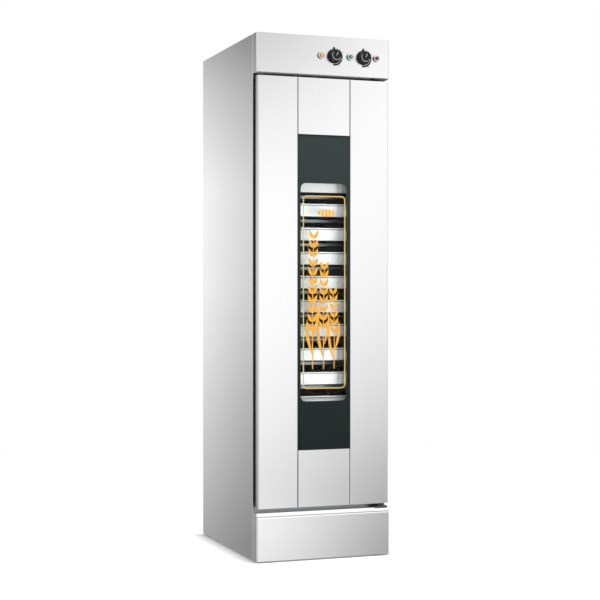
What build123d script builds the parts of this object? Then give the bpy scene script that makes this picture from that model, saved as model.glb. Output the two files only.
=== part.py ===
from build123d import *
import os

# A dough proofer: a tall insulated cabinet with one glazed door, a rack of sixteen trays, two heaters
# and a water pan under them, and a header box with two knobs and three pilot lamps.
# Millimetres. +Z is up, the door faces -Y, +X is to the right of somebody who faces it.
# The origin is on the floor, at the middle of the whole outline.

os.makedirs("parts", exist_ok=True)

# ---- sheet metal
SKIN = 1.2  # outer stainless sheet
LINER = 1.0  # chamber and door liner sheet
CORNER_BEND = 6.0  # middle-line radius of the front corners that show
SHEET_BEND = 2.5  # middle-line radius of every other fold
FIT = 0.2  # gap between pieces of one body that are fastened, not fused

# ---- trays, the standard size that the chamber is built round
TRAY_WIDTH = 400.0
TRAY_LENGTH = 600.0
TRAY_HEIGHT = 45.0
TRAY_SHEET = 1.0
TRAY_TAPER = 6.0  # how far each wall leans in from rim to floor
TRAY_CORNER = 16.0
TRAY_RIM = 3.4  # rolled rim, as wide as it is high
TRAY_RIM_BEVEL = 1.1
TRAY_COUNT = 16
TRAY_PITCH = 87.0

# ---- rack
RUNNER_SHEET = 1.5
RUNNER_LEDGE = 23.0
RUNNER_GUIDE = 18.0  # upright leg of a runner
RUNNER_INSET = 10.0  # from the ends of a tray to the ends of its runners
UPRIGHT_WIDTH = 25.0
UPRIGHT_DEPTH = 11.0
UPRIGHT_INSET = 80.0  # from the ends of a tray to the middle of the uprights
RAIL_HEIGHT = 10.0
RAIL_THICKNESS = 6.0
RAIL_DROP = 8.0  # from a tray's floor down to the rail under it

# ---- chamber
MOUTH_SIDE_GAP = 6.0  # between a tray's rim and the side of the mouth
MOUTH_LIP = 10.0  # how far the mouth stands in from the liner
TRAY_SETBACK = 1.6
TRAY_REAR_GAP = 4.0
SIDE_INSULATION = 36.8
REAR_INSULATION = 28.6
MOUTH_COLLAR = 10.0  # depth of the turned-in edge of the mouth
MOUTH_CORNER = 5.0
FRONT_FLANGE = 22.0
EDGE_FOLD = 12.0
REAR_FLANGE = 18.0
FLOOR_INSULATION = 28.0
CEILING_RISE = 12.0  # from the mouth's top edge up to the ceiling
FLOOR_DROP = 40.0  # from the mouth's bottom edge down to the floor

# ---- door
DOOR_THICKNESS = 34.0
DOOR_SIDE_GAP = 4.0
DOOR_HEAD_GAP = 12.0
DOOR_FOOT_GAP = 27.0
DOOR_EDGE = 27.0  # visible depth of the door's edge, before the pull ledge
PULL_LEDGE = 22.0  # finger ledge behind each long edge
SEAM_RETURN = 8.0
SEAM_WIDTH = 2.0
STRIP_WIDTH = 200.0  # centre strip between the two seams
STRIP_PANEL = 203.0  # steel panel above and below the glass
END_CAP = 1.2
FIRST_TRAY_RISE = 86.0  # from the door's bottom edge to the lowest tray's floor
DOOR_HEADROOM = 100.0  # from the top tray's rim to the door's top edge
SEAL_OVERLAP = 36.0  # from the door's top and bottom edges to the mouth
GASKET_GAP = 12.0
GASKET_WIDTH = 12.0
GASKET_INSET = 3.0  # from the mouth's edge to the gasket
GASKET_CORNER = 14.0
GASKET_BEVEL = 3.0
BODY_GAP = 0.3  # between the door and the cabinet where they nearly touch

# ---- door window
OUTER_GLASS = 5.0
INNER_GLASS = 4.0
GLASS_RECESS = 1.0
GLASS_EDGE_GAP = 1.2
MASK_SIDE = 12.0
MASK_END = 174.0
MASK_CORNER = 20.0
MASK_THICKNESS = 2.6
SPACER_DEPTH = 20.0
SPACER_WALL = 10.0

# ---- header and base
HEADER_HEIGHT = 140.0
BASE_HEIGHT = 165.0
LEDGE_RISE = 11.0  # height of the bevel along the base's top edge
LEDGE_DEPTH = 6.0
CREASE_HEIGHT = 8.0  # pressed crease right under the bevel
CREASE_DEPTH = 1.2
FOOT_HEIGHT = 6.0
FOOT_RADIUS = 17.0
FOOT_INSET = 45.0
FOOT_BEVEL = 2.0

# ---- door pivots, on one upright line near the right-hand edge
PIN_RADIUS = 5.0
PIN_FROM_EDGE = 30.0
PIN_FROM_FRONT = 10.0
PIN_REACH = 16.0  # how deep a pin enters the door
PIN_CLEARANCE = 0.05
BUSH_RADIUS = 8.0
BUSH_LENGTH = 22.0
HINGE_PLATE = 4.0
HINGE_PLATE_WIDTH = 56.0
HINGE_PLATE_CORNER = 9.0
HINGE_LEG = 11.0
WASHER_RADIUS = 10.0

# ---- knobs and lamps
CONTROL_HEIGHT = 70.0  # above the header's bottom edge
TEMPERATURE_INSET = 216.5  # from the header's right-hand end
HUMIDITY_INSET = 103.5
LAMP_INSET = {"lamp_amber": 268.0, "lamp_green": 156.0, "lamp_red": 53.0}
KNOB_SKIRT_RADIUS = 26.5
KNOB_SKIRT = 5.0
KNOB_WAIST_RADIUS = 22.5
KNOB_FACE_RADIUS = 20.5
KNOB_PROUD = 26.0
KNOB_GAP = 1.0
KNOB_EDGE = 1.5
KNOB_WALL = 6.0  # from the face to the blind end of the shaft's hole
KNOB_FLUTES = 18
FLUTE_RADIUS = 1.6
HUB_RADIUS = 9.0
SHAFT_RADIUS = 3.0
SHAFT_CLEARANCE = 0.05
SHAFT_BEVEL = 0.5
NECK_RADIUS = 5.0
NECK_PROUD = 4.0
HOLE_CLEARANCE = 0.3
THERMOSTAT_RADIUS = 19.0
THERMOSTAT_DEPTH = 24.0
THERMOSTAT_BEVEL = 3.0
BEZEL_RADIUS = 12.0
BEZEL_THICKNESS = 8.0
BEZEL_BEVEL = 1.5
LAMP_BODY_RADIUS = 8.0
LAMP_BODY_LENGTH = 30.0
LENS_RADIUS = 7.2
LENS_PROUD = 15.5
LENS_DOME = 4.5  # height of the domed end
LENS_STEM_RADIUS = 5.0
LENS_STEM = 8.0

# ---- heating and steam
HEATER_RADIUS = 4.0
HEATER_BEND = 14.0
HEATER_HEIGHT = 42.0  # above the chamber floor where the tubes pass the rear liner
HEATER_DIP = 24.0
HEATER_TAIL = 18.0  # behind the rear liner
PAN_WIDTH = 176.0
PAN_END_GAP = 15.0  # from the pan to the front and rear ends of the cover
PAN_HEIGHT = 34.0
PAN_SHEET = 1.0
PAN_CORNER = 12.0
PAN_RIM = 5.0
COVER_HEIGHT = 52.0
COVER_LENGTH = 430.0
COVER_SIDE_GAP = 10.0
COVER_SLOT_LENGTH = 46.0
COVER_SLOT_WIDTH = 9.0
COVER_SLOT_COLUMNS, COVER_SLOT_ROWS = 5, 4
COVER_SLOT_STEP = (74.0, 80.0)  # across, front to back

# ---- services at the back
GLAND_PROUD = 12.0
GLAND_INSET = 75.0  # from the left-hand side
GLAND_HEIGHT = 62.0  # above the header's bottom edge
GLAND_THREAD_RADIUS = 8.0
GLAND_HEX_RADIUS = 12.5
GLAND_BORE_RADIUS = 4.5
GLAND_HEX = 5.0
LOUVRE_INSET = 165.0  # from the right-hand side to the middle of the louvres
LOUVRE_LENGTH = 64.0
LOUVRE_WIDTH = 6.0
LOUVRE_COLUMNS, LOUVRE_ROWS = 2, 5
LOUVRE_STEP = (90.0, 14.0)  # across, up
BLOCK_SIZE = (22.0, 74.0, 20.0)
BLOCK_WAYS = 5
BLOCK_POCKET = (13.0, 9.0)

# ---- places that follow from the sizes above
# across
MOUTH_HALF = TRAY_WIDTH / 2 + MOUTH_SIDE_GAP
LINER_HALF = MOUTH_HALF + MOUTH_LIP
CABINET_HALF = LINER_HALF + LINER + SIDE_INSULATION + SKIN
DOOR_HALF = CABINET_HALF - DOOR_SIDE_GAP
UPRIGHT_FACE = LINER_HALF - UPRIGHT_DEPTH
LEDGE_HALF = DOOR_HALF - PULL_LEDGE
STRIP_HALF = STRIP_WIDTH / 2
TEMPERATURE_KNOB_X = CABINET_HALF - TEMPERATURE_INSET
HUMIDITY_KNOB_X = CABINET_HALF - HUMIDITY_INSET
LAMP_X = {name: CABINET_HALF - inset for name, inset in LAMP_INSET.items()}
GLAND_X = GLAND_INSET - CABINET_HALF
LOUVRE_X = CABINET_HALF - LOUVRE_INSET

# front to back
CABINET_DEPTH = (
    DOOR_THICKNESS + GASKET_GAP + SKIN + FIT + TRAY_SETBACK + TRAY_LENGTH + TRAY_REAR_GAP
    + LINER + REAR_INSULATION + 2 * SKIN
)
FRONT_Y = -(CABINET_DEPTH + GLAND_PROUD - KNOB_PROUD) / 2
DOOR_BACK_Y = FRONT_Y + DOOR_THICKNESS
FRAME_Y = DOOR_BACK_Y + GASKET_GAP  # the sheet round the mouth
FACE_Y = FRAME_Y + SKIN + FIT  # the side panels' front edges, behind that sheet
TRAY_FRONT_Y = FACE_Y + TRAY_SETBACK
TRAY_REAR_Y = TRAY_FRONT_Y + TRAY_LENGTH
TRAY_MID_Y = (TRAY_FRONT_Y + TRAY_REAR_Y) / 2
LINER_REAR_Y = TRAY_REAR_Y + TRAY_REAR_GAP
PAN_LENGTH = COVER_LENGTH - 2 * PAN_END_GAP
REAR_Y = FRONT_Y + CABINET_DEPTH
REAR_PANEL_Y = REAR_Y - SKIN  # outer face of the rear panel, inside the side panels' flanges

# up
DOOR_BOTTOM = BASE_HEIGHT + DOOR_FOOT_GAP
FIRST_TRAY = DOOR_BOTTOM + FIRST_TRAY_RISE
TOP_RIM = FIRST_TRAY + (TRAY_COUNT - 1) * TRAY_PITCH + TRAY_HEIGHT
DOOR_TOP = TOP_RIM + DOOR_HEADROOM
HEADER_BOTTOM = DOOR_TOP + DOOR_HEAD_GAP
CABINET_TOP = HEADER_BOTTOM + HEADER_HEIGHT
MOUTH_BOTTOM = DOOR_BOTTOM + SEAL_OVERLAP
MOUTH_TOP = DOOR_TOP - SEAL_OVERLAP
FLOOR_Z = MOUTH_BOTTOM - FLOOR_DROP
CEILING_Z = MOUTH_TOP + CEILING_RISE
LEDGE_TOP = BASE_HEIGHT + LEDGE_RISE
CONTROL_Z = HEADER_BOTTOM + CONTROL_HEIGHT
GLASS_BOTTOM = DOOR_BOTTOM + STRIP_PANEL
GLASS_TOP = DOOR_TOP - STRIP_PANEL

# the pivots
PIN_X = DOOR_HALF - PIN_FROM_EDGE
PIN_Y = FRONT_Y + PIN_FROM_FRONT


def rest_on(z):
    """Level plane over the middle of the trays."""
    return Plane((0, TRAY_MID_Y, z))


def facing(y):
    """Upright plane at y that faces the front: its x is the cabinet's x, its y is up."""
    return Plane((0, y, 0), x_dir=(1, 0, 0), z_dir=(0, -1, 0))


def save(piece, name):
    """Labels one finished piece and writes it."""
    piece.part.label = name
    export_step(piece.part, f"parts/{name}.step")


# ---------------------------------------------------------------- cabinet shell

def side_panel(side):
    """Outer side: one sheet, its front and rear edges folded in."""
    outer = side * (CABINET_HALF - SKIN / 2)
    with BuildPart() as panel:
        with BuildSketch(Plane.XY.offset(FOOT_HEIGHT)):
            with BuildLine():
                FilletPolyline(
                    (outer - side * FRONT_FLANGE, FACE_Y + SKIN / 2),
                    (outer, FACE_Y + SKIN / 2),
                    (outer, REAR_Y - SKIN / 2),
                    (outer - side * REAR_FLANGE, REAR_Y - SKIN / 2),
                    radius=SHEET_BEND,
                )
            trace(line_width=SKIN)
        extrude(amount=CABINET_TOP - FOOT_HEIGHT)
    return panel


def level_sheet(outside, turn):
    """Sheet between the side panels, its long edges folded towards the inside of the cabinet.
    outside is the height of its outer face, turn is 1 for a floor and -1 for a lid."""
    half = CABINET_HALF - SKIN - FIT - SKIN / 2
    level = outside + turn * SKIN / 2
    fold = outside + turn * (SKIN + EDGE_FOLD)
    front = FACE_Y + SKIN + FIT
    rear = REAR_PANEL_Y - SKIN - FIT
    with BuildPart() as sheet:
        with BuildSketch(facing(front)):
            with BuildLine():
                FilletPolyline(
                    (-half, fold), (-half, level), (half, level), (half, fold), radius=SHEET_BEND
                )
            trace(line_width=SKIN)
        extrude(amount=-(rear - front))
        # the corners make room for the folds of the side panels
        with BuildSketch(Plane.XY.offset(min(outside, fold))):
            with Locations(*((x, y) for x in (-half, half) for y in (front, rear))):
                Rectangle(4 * SHEET_BEND, 2 * SHEET_BEND)
        extrude(amount=SKIN + EDGE_FOLD, mode=Mode.SUBTRACT)
    return sheet


def rear_panel():
    """Back sheet inside the side panels' flanges, with louvres and the cable hole at header level."""
    width = 2 * (CABINET_HALF - SKIN - SHEET_BEND)
    height = CABINET_TOP - FOOT_HEIGHT - 2 * SKIN
    middle = (CABINET_TOP + FOOT_HEIGHT) / 2
    with BuildPart() as panel:
        with BuildSketch(facing(REAR_PANEL_Y)):
            with Locations((0, middle)):
                Rectangle(width, height)
            with Locations((GLAND_X, HEADER_BOTTOM + GLAND_HEIGHT)):
                Circle(GLAND_THREAD_RADIUS + HOLE_CLEARANCE, mode=Mode.SUBTRACT)
            with Locations((LOUVRE_X, HEADER_BOTTOM + HEADER_HEIGHT / 2)):
                with GridLocations(*LOUVRE_STEP, LOUVRE_COLUMNS, LOUVRE_ROWS):
                    SlotOverall(LOUVRE_LENGTH, LOUVRE_WIDTH, mode=Mode.SUBTRACT)
        extrude(amount=SKIN)
    return panel


def front_box(bottom, top):
    """Solid block across the front, its two upright front corners rounded."""
    with BuildPart() as block:
        with BuildSketch(Plane.XY.offset(bottom)) as outline:
            with Locations((0, (FRONT_Y + FACE_Y) / 2)):
                Rectangle(2 * CABINET_HALF, FACE_Y - FRONT_Y)
            fillet(outline.vertices().group_by(Axis.Y)[0], CORNER_BEND + SKIN / 2)
        extrude(amount=top - bottom)
    return block


def base_front():
    """Kick panel: open at the back, with a bevelled ledge under the door and a crease below it."""
    crease = BASE_HEIGHT - CREASE_HEIGHT
    with BuildPart() as box:
        add(front_box(FOOT_HEIGHT, LEDGE_TOP).part)
        with BuildSketch(Plane.YZ):
            with BuildLine():
                Polyline(
                    (FRONT_Y, crease),
                    (FRONT_Y + CREASE_DEPTH, BASE_HEIGHT - CREASE_HEIGHT / 2),
                    (FRONT_Y, BASE_HEIGHT),
                    (FRONT_Y + LEDGE_DEPTH, LEDGE_TOP),
                    (FRONT_Y - LEDGE_DEPTH, LEDGE_TOP),
                    (FRONT_Y - LEDGE_DEPTH, crease),
                    close=True,
                )
            make_face()
        extrude(amount=CABINET_HALF, both=True, mode=Mode.SUBTRACT)
        offset(amount=-SKIN, openings=box.faces().sort_by(Axis.Y)[-1])
    return box


def header_fascia():
    """Front of the control box, with holes for the two knobs' necks and the three lamps."""
    with BuildPart() as fascia:
        add(front_box(HEADER_BOTTOM, CABINET_TOP).part)
        offset(amount=-SKIN, openings=fascia.faces().sort_by(Axis.Y)[-1])
        with BuildSketch(facing(FRONT_Y)):
            with Locations((TEMPERATURE_KNOB_X, CONTROL_Z), (HUMIDITY_KNOB_X, CONTROL_Z)):
                Circle(NECK_RADIUS + HOLE_CLEARANCE)
            with Locations(*((x, CONTROL_Z) for x in LAMP_X.values())):
                Circle(LAMP_BODY_RADIUS + HOLE_CLEARANCE)
        extrude(amount=-2 * SKIN, mode=Mode.SUBTRACT)
    return fascia


def face_frame():
    """Sheet over the cabinet's front flanges, round the mouth, its inner edge turned in as a collar."""
    bottom, top = LEDGE_TOP + FIT, HEADER_BOTTOM - FIT
    mouth_height = MOUTH_TOP - MOUTH_BOTTOM
    mouth_middle = (MOUTH_TOP + MOUTH_BOTTOM) / 2
    with BuildPart() as frame:
        with BuildSketch(facing(FRAME_Y)):
            with Locations((0, (bottom + top) / 2)):
                Rectangle(2 * (CABINET_HALF - FIT), top - bottom)
            with Locations((0, mouth_middle)):
                RectangleRounded(2 * MOUTH_HALF, mouth_height, MOUTH_CORNER, mode=Mode.SUBTRACT)
        extrude(amount=-SKIN)
        with BuildSketch(facing(FRAME_Y)):
            with Locations((0, mouth_middle)):
                RectangleRounded(
                    2 * (MOUTH_HALF + SKIN), mouth_height + 2 * SKIN, MOUTH_CORNER + SKIN
                )
                RectangleRounded(2 * MOUTH_HALF, mouth_height, MOUTH_CORNER, mode=Mode.SUBTRACT)
        extrude(amount=-MOUTH_COLLAR)
    return frame


def feet():
    """Four low glides under the corners."""
    x = CABINET_HALF - FOOT_INSET
    front, rear = FRONT_Y + FOOT_INSET, REAR_Y - FOOT_INSET
    with BuildPart() as glides:
        with BuildSketch():
            with Locations((-x, front), (x, front), (-x, rear), (x, rear)):
                Circle(FOOT_RADIUS)
        extrude(amount=FOOT_HEIGHT)
        chamfer(glides.faces().filter_by(Plane.XY).group_by(Axis.Z)[0].edges(), FOOT_BEVEL)
    return glides


# ---------------------------------------------------------------- chamber

def liner_sides():
    """Left and right chamber walls."""
    front = FACE_Y + SKIN + FIT
    with BuildPart() as walls:
        with BuildSketch(Plane.XY.offset(FLOOR_Z)):
            for side in (-1, 1):
                with Locations((side * (LINER_HALF + LINER / 2), (front + LINER_REAR_Y) / 2)):
                    Rectangle(LINER, LINER_REAR_Y - front)
        extrude(amount=CEILING_Z - FLOOR_Z)
    return walls


def heater_legs():
    """Where the four heater tubes pass the rear wall, as (x, height)."""
    leg = PAN_WIDTH / 2 - PAN_CORNER - HEATER_BEND
    middle = TRAY_WIDTH / 4
    height = FLOOR_Z + HEATER_HEIGHT
    return [(side * middle + turn * leg, height) for side in (-1, 1) for turn in (-1, 1)]


def liner_rear():
    """Back wall of the chamber, pierced for the heater tubes."""
    with BuildPart() as wall:
        with BuildSketch(facing(LINER_REAR_Y)):
            with Locations((0, (FLOOR_Z + CEILING_Z) / 2)):
                Rectangle(2 * (LINER_HALF + LINER), CEILING_Z - FLOOR_Z)
            with Locations(*heater_legs()):
                Circle(HEATER_RADIUS + HOLE_CLEARANCE, mode=Mode.SUBTRACT)
        extrude(amount=-LINER)
    return wall


def liner_level(z):
    """Floor or ceiling sheet of the chamber, its top face at z + LINER."""
    front = FACE_Y + SKIN + FIT
    rear = LINER_REAR_Y + LINER
    with BuildPart() as sheet:
        with BuildSketch(Plane.XY.offset(z)):
            with Locations((0, (front + rear) / 2)):
                Rectangle(2 * (LINER_HALF + LINER), rear - front)
        extrude(amount=LINER)
    return sheet


def insulation():
    """Foam slabs at both sides, behind, above and below the chamber."""
    bottom = FLOOR_Z - LINER - FLOOR_INSULATION
    top = HEADER_BOTTOM - SKIN
    front = FACE_Y + SKIN + FIT
    rear = REAR_PANEL_Y - SKIN - FIT
    behind = LINER_REAR_Y + LINER + FIT
    inner = LINER_HALF + LINER + FIT
    outer = CABINET_HALF - SKIN - SHEET_BEND
    with BuildPart() as foam:
        with BuildSketch(Plane.XY.offset(bottom)):
            for side in (-1, 1):
                with Locations((side * (inner + outer) / 2, (front + rear) / 2)):
                    Rectangle(outer - inner, rear - front)
        extrude(amount=top - bottom)
        with BuildSketch(facing(behind)):
            with Locations((0, (bottom + top) / 2)):
                Rectangle(2 * (inner - 2 * FIT), top - bottom)
            with Locations(*heater_legs()):
                Circle(HEATER_RADIUS + HOLE_CLEARANCE, mode=Mode.SUBTRACT)
        extrude(amount=-(rear - behind))
        for low, high in ((bottom, FLOOR_Z - LINER - FIT), (CEILING_Z + LINER + FIT, top)):
            with BuildSketch(Plane.XY.offset(low)):
                with Locations((0, (front + behind - FIT) / 2)):
                    Rectangle(2 * (inner - 2 * FIT), behind - 2 * FIT - front)
            extrude(amount=high - low)
    return foam


def tray_levels():
    """Floor heights of the trays, from the lowest up."""
    return [FIRST_TRAY + level * TRAY_PITCH for level in range(TRAY_COUNT)]


def rack(side):
    """Side ladder: two folded uprights and a runner at each level."""
    face = UPRIGHT_FACE
    sheet = RUNNER_SHEET
    wall = side * LINER_HALF
    front = side * (face + sheet / 2)
    guide = side * (face - FIT - sheet / 2)
    with BuildPart() as ladder:
        for middle in (TRAY_FRONT_Y + UPRIGHT_INSET, TRAY_REAR_Y - UPRIGHT_INSET):
            reach = (UPRIGHT_WIDTH - sheet) / 2
            with BuildSketch(Plane.XY.offset(FLOOR_Z)):
                with BuildLine():
                    Polyline(
                        (wall, middle - reach),
                        (front, middle - reach),
                        (front, middle + reach),
                        (wall, middle + reach),
                    )
                trace(line_width=sheet)
            extrude(amount=CEILING_Z - FLOOR_Z)
        for floor in tray_levels():
            with BuildSketch(facing(TRAY_FRONT_Y + RUNNER_INSET)):
                with BuildLine():
                    Polyline(
                        (side * (face - RUNNER_LEDGE), floor - sheet / 2),
                        (guide, floor - sheet / 2),
                        (guide, floor + RUNNER_GUIDE),
                    )
                trace(line_width=sheet)
            extrude(amount=-(TRAY_LENGTH - 2 * RUNNER_INSET))
    return ladder


def rack_rails():
    """Cross rails that tie the two ladders together under every tray, front and rear."""
    with BuildPart() as rails:
        with BuildSketch(Plane.YZ.offset(-(UPRIGHT_FACE - FIT))):
            for middle in (TRAY_FRONT_Y + UPRIGHT_INSET, TRAY_REAR_Y - UPRIGHT_INSET):
                for floor in tray_levels():
                    with Locations((middle, floor - RAIL_DROP - RAIL_HEIGHT / 2)):
                        Rectangle(RAIL_THICKNESS, RAIL_HEIGHT)
        extrude(amount=2 * (UPRIGHT_FACE - FIT))
    return rails


def tray(floor):
    """Pressed tray: four leaning walls and a rolled rim."""
    width, length = TRAY_WIDTH - 2 * TRAY_RIM, TRAY_LENGTH - 2 * TRAY_RIM
    rim = floor + TRAY_HEIGHT
    with BuildPart() as pressed:
        for wall, mode in ((0, Mode.ADD), (TRAY_SHEET, Mode.SUBTRACT)):
            lean = 2 * (TRAY_TAPER + wall)
            corner = TRAY_CORNER - TRAY_RIM - wall
            with BuildSketch(rest_on(floor + wall)):
                RectangleRounded(width - lean, length - lean, corner)
            with BuildSketch(rest_on(rim)):
                RectangleRounded(width - 2 * wall, length - 2 * wall, corner)
            loft(mode=mode)
        with BuildSketch(rest_on(rim - TRAY_RIM)):
            RectangleRounded(TRAY_WIDTH, TRAY_LENGTH, TRAY_CORNER)
            RectangleRounded(
                width - TRAY_SHEET, length - TRAY_SHEET, TRAY_CORNER - TRAY_RIM, mode=Mode.SUBTRACT
            )
        extrude(amount=TRAY_RIM)
        chamfer(pressed.faces().sort_by(Axis.Z)[-1].outer_wire().edges(), TRAY_RIM_BEVEL)
    return pressed


# ---------------------------------------------------------------- heat and steam

def water_pan():
    """Loose pan for the steam water, on the chamber floor at the left."""
    middle = Plane((-TRAY_WIDTH / 4, LINER_REAR_Y - COVER_LENGTH / 2, FLOOR_Z))
    with BuildPart() as pan:
        with BuildSketch(middle):
            RectangleRounded(PAN_WIDTH, PAN_LENGTH, PAN_CORNER)
        extrude(amount=PAN_HEIGHT)
        offset(amount=-PAN_SHEET, openings=pan.faces().sort_by(Axis.Z)[-1])
        with BuildSketch(middle.offset(PAN_HEIGHT - PAN_SHEET)):
            RectangleRounded(PAN_WIDTH + PAN_RIM, PAN_LENGTH + PAN_RIM, PAN_CORNER + PAN_RIM / 2)
            RectangleRounded(
                PAN_WIDTH - PAN_SHEET, PAN_LENGTH - PAN_SHEET, PAN_CORNER, mode=Mode.SUBTRACT
            )
        extrude(amount=PAN_SHEET)
    return pan


def heaters():
    """Two hairpin elements through the rear wall: one dips into the water pan, one stays dry."""
    tail = LINER_REAR_Y + LINER + HEATER_TAIL
    pan_rear = LINER_REAR_Y - PAN_END_GAP
    reach = LINER_REAR_Y - COVER_LENGTH + 3 * HEATER_BEND
    legs = heater_legs()
    with BuildPart() as tubes:
        for (near, high), (far, _) in (legs[:2], legs[2:]):
            low = high - HEATER_DIP if near < 0 else high - HEATER_RADIUS / 2
            dip = pan_rear - PAN_CORNER - HEATER_DIP
            with BuildLine() as route:
                FilletPolyline(
                    (near, tail, high),
                    (near, dip, high),
                    (near, dip - 2 * HEATER_DIP, low),
                    (near, reach, low),
                    (far, reach, low),
                    (far, dip - 2 * HEATER_DIP, low),
                    (far, dip, high),
                    (far, tail, high),
                    radius=HEATER_BEND,
                )
            with BuildSketch(Plane((near, tail, high), z_dir=(0, -1, 0))):
                Circle(HEATER_RADIUS)
            sweep(path=route.wires()[0])
    return tubes


def heater_cover():
    """Slotted guard over the heaters and the pan, its long edges folded down to the floor."""
    half = UPRIGHT_FACE - COVER_SIDE_GAP
    top = FLOOR_Z + COVER_HEIGHT
    with BuildPart() as cover:
        with BuildSketch(facing(LINER_REAR_Y - COVER_LENGTH)):
            with BuildLine():
                FilletPolyline(
                    (-half, FLOOR_Z),
                    (-half, top - SKIN / 2),
                    (half, top - SKIN / 2),
                    (half, FLOOR_Z),
                    radius=SHEET_BEND,
                )
            trace(line_width=SKIN)
        extrude(amount=-(COVER_LENGTH - FIT))
        with BuildSketch(Plane((0, LINER_REAR_Y - COVER_LENGTH / 2, top))):
            with GridLocations(*COVER_SLOT_STEP, COVER_SLOT_COLUMNS, COVER_SLOT_ROWS):
                SlotOverall(COVER_SLOT_LENGTH, COVER_SLOT_WIDTH)
        extrude(amount=-2 * SKIN, mode=Mode.SUBTRACT)
    return cover


# ---------------------------------------------------------------- controls

def thermostats():
    """Two rotary controls behind the fascia, each with a neck that guides its shaft."""
    back = FRONT_Y + SKIN
    with BuildPart() as controls:
        with BuildSketch(facing(back)):
            with Locations((TEMPERATURE_KNOB_X, CONTROL_Z), (HUMIDITY_KNOB_X, CONTROL_Z)):
                Circle(THERMOSTAT_RADIUS)
        extrude(amount=-THERMOSTAT_DEPTH)
        chamfer(controls.faces().group_by(Axis.Y)[-1].edges(), THERMOSTAT_BEVEL)
        with BuildSketch(facing(back)):
            with Locations((TEMPERATURE_KNOB_X, CONTROL_Z), (HUMIDITY_KNOB_X, CONTROL_Z)):
                Circle(NECK_RADIUS)
        extrude(amount=SKIN + NECK_PROUD)
        with BuildSketch(facing(back + THERMOSTAT_DEPTH / 2)):
            with Locations((TEMPERATURE_KNOB_X, CONTROL_Z), (HUMIDITY_KNOB_X, CONTROL_Z)):
                Circle(SHAFT_RADIUS + SHAFT_CLEARANCE)
        extrude(amount=THERMOSTAT_DEPTH, mode=Mode.SUBTRACT)
    return controls


def knob(x):
    """Moulded knob: a flared skirt, a fluted grip and a recess that hides the neck."""
    back = FRONT_Y - KNOB_GAP
    face = FRONT_Y - KNOB_PROUD
    recess = NECK_PROUD + 2 * KNOB_GAP
    axis = Axis((x, FRONT_Y, CONTROL_Z), (0, -1, 0))
    with BuildPart() as grip:
        with BuildSketch(Plane((x, 0, CONTROL_Z), x_dir=(1, 0, 0), z_dir=(0, 0, 1))):
            with BuildLine():
                Polyline(
                    (0, face),
                    (KNOB_FACE_RADIUS - KNOB_EDGE, face),
                    (KNOB_FACE_RADIUS, face + KNOB_EDGE),
                    (KNOB_WAIST_RADIUS, back - 2 * KNOB_SKIRT),
                    (KNOB_SKIRT_RADIUS, back - KNOB_SKIRT / 2),
                    (KNOB_SKIRT_RADIUS, back),
                    (HUB_RADIUS, back),
                    (HUB_RADIUS, back - recess),
                    (0, back - recess),
                    (0, face),
                )
            make_face()
        revolve(axis=axis)
        with BuildSketch(facing(face)):
            with Locations((x, CONTROL_Z)):
                with PolarLocations(KNOB_WAIST_RADIUS, KNOB_FLUTES):
                    Circle(FLUTE_RADIUS)
        extrude(amount=-(back - 2 * KNOB_SKIRT - face), mode=Mode.SUBTRACT)
        with BuildSketch(facing(back - recess)):
            with Locations((x, CONTROL_Z)):
                Circle(SHAFT_RADIUS + SHAFT_CLEARANCE)
        extrude(amount=back - recess - face - KNOB_WALL, mode=Mode.SUBTRACT)
    return grip


def knob_shaft(x):
    """Spindle from the control into the knob."""
    inner = FRONT_Y + SKIN + THERMOSTAT_DEPTH / 2 - BODY_GAP
    outer = FRONT_Y - KNOB_PROUD + KNOB_WALL + FIT
    with BuildPart() as shaft:
        with BuildSketch(facing(inner)):
            with Locations((x, CONTROL_Z)):
                Circle(SHAFT_RADIUS)
        extrude(amount=inner - outer)
        chamfer(shaft.edges().group_by(Axis.Y)[0], SHAFT_BEVEL)
    return shaft


def lamp_housings():
    """Three pilot lamp bodies: a bevelled bezel in front of the fascia, a barrel behind it."""
    places = [(x, CONTROL_Z) for x in LAMP_X.values()]
    with BuildPart() as housings:
        with BuildSketch(facing(FRONT_Y)):
            with Locations(*places):
                Circle(BEZEL_RADIUS)
        extrude(amount=BEZEL_THICKNESS)
        chamfer(housings.edges().group_by(Axis.Y)[0], BEZEL_BEVEL)
        with BuildSketch(facing(FRONT_Y)):
            with Locations(*places):
                Circle(LAMP_BODY_RADIUS)
        extrude(amount=-LAMP_BODY_LENGTH)
        with BuildSketch(facing(FRONT_Y - BEZEL_THICKNESS)):
            with Locations(*places):
                Circle(LENS_STEM_RADIUS + FIT)
        extrude(amount=-(LENS_STEM + FIT), mode=Mode.SUBTRACT)
    return housings


def lamp_lens(x):
    """Domed lens with a stem in its housing."""
    seat = FRONT_Y - BEZEL_THICKNESS
    tip = FRONT_Y - LENS_PROUD
    shoulder = tip + LENS_DOME
    dome_radius = (LENS_RADIUS**2 + LENS_DOME**2) / (2 * LENS_DOME)
    with BuildPart() as lens:
        with BuildSketch(Plane((x, 0, CONTROL_Z), x_dir=(1, 0, 0), z_dir=(0, 0, 1))):
            with BuildLine():
                Polyline(
                    (0, tip),
                    (0, seat + LENS_STEM),
                    (LENS_STEM_RADIUS, seat + LENS_STEM),
                    (LENS_STEM_RADIUS, seat),
                    (LENS_RADIUS, seat),
                    (LENS_RADIUS, shoulder),
                )
                RadiusArc((LENS_RADIUS, shoulder), (0, tip), dome_radius)
            make_face()
        revolve(axis=Axis((x, FRONT_Y, CONTROL_Z), (0, -1, 0)))
    return lens


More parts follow.
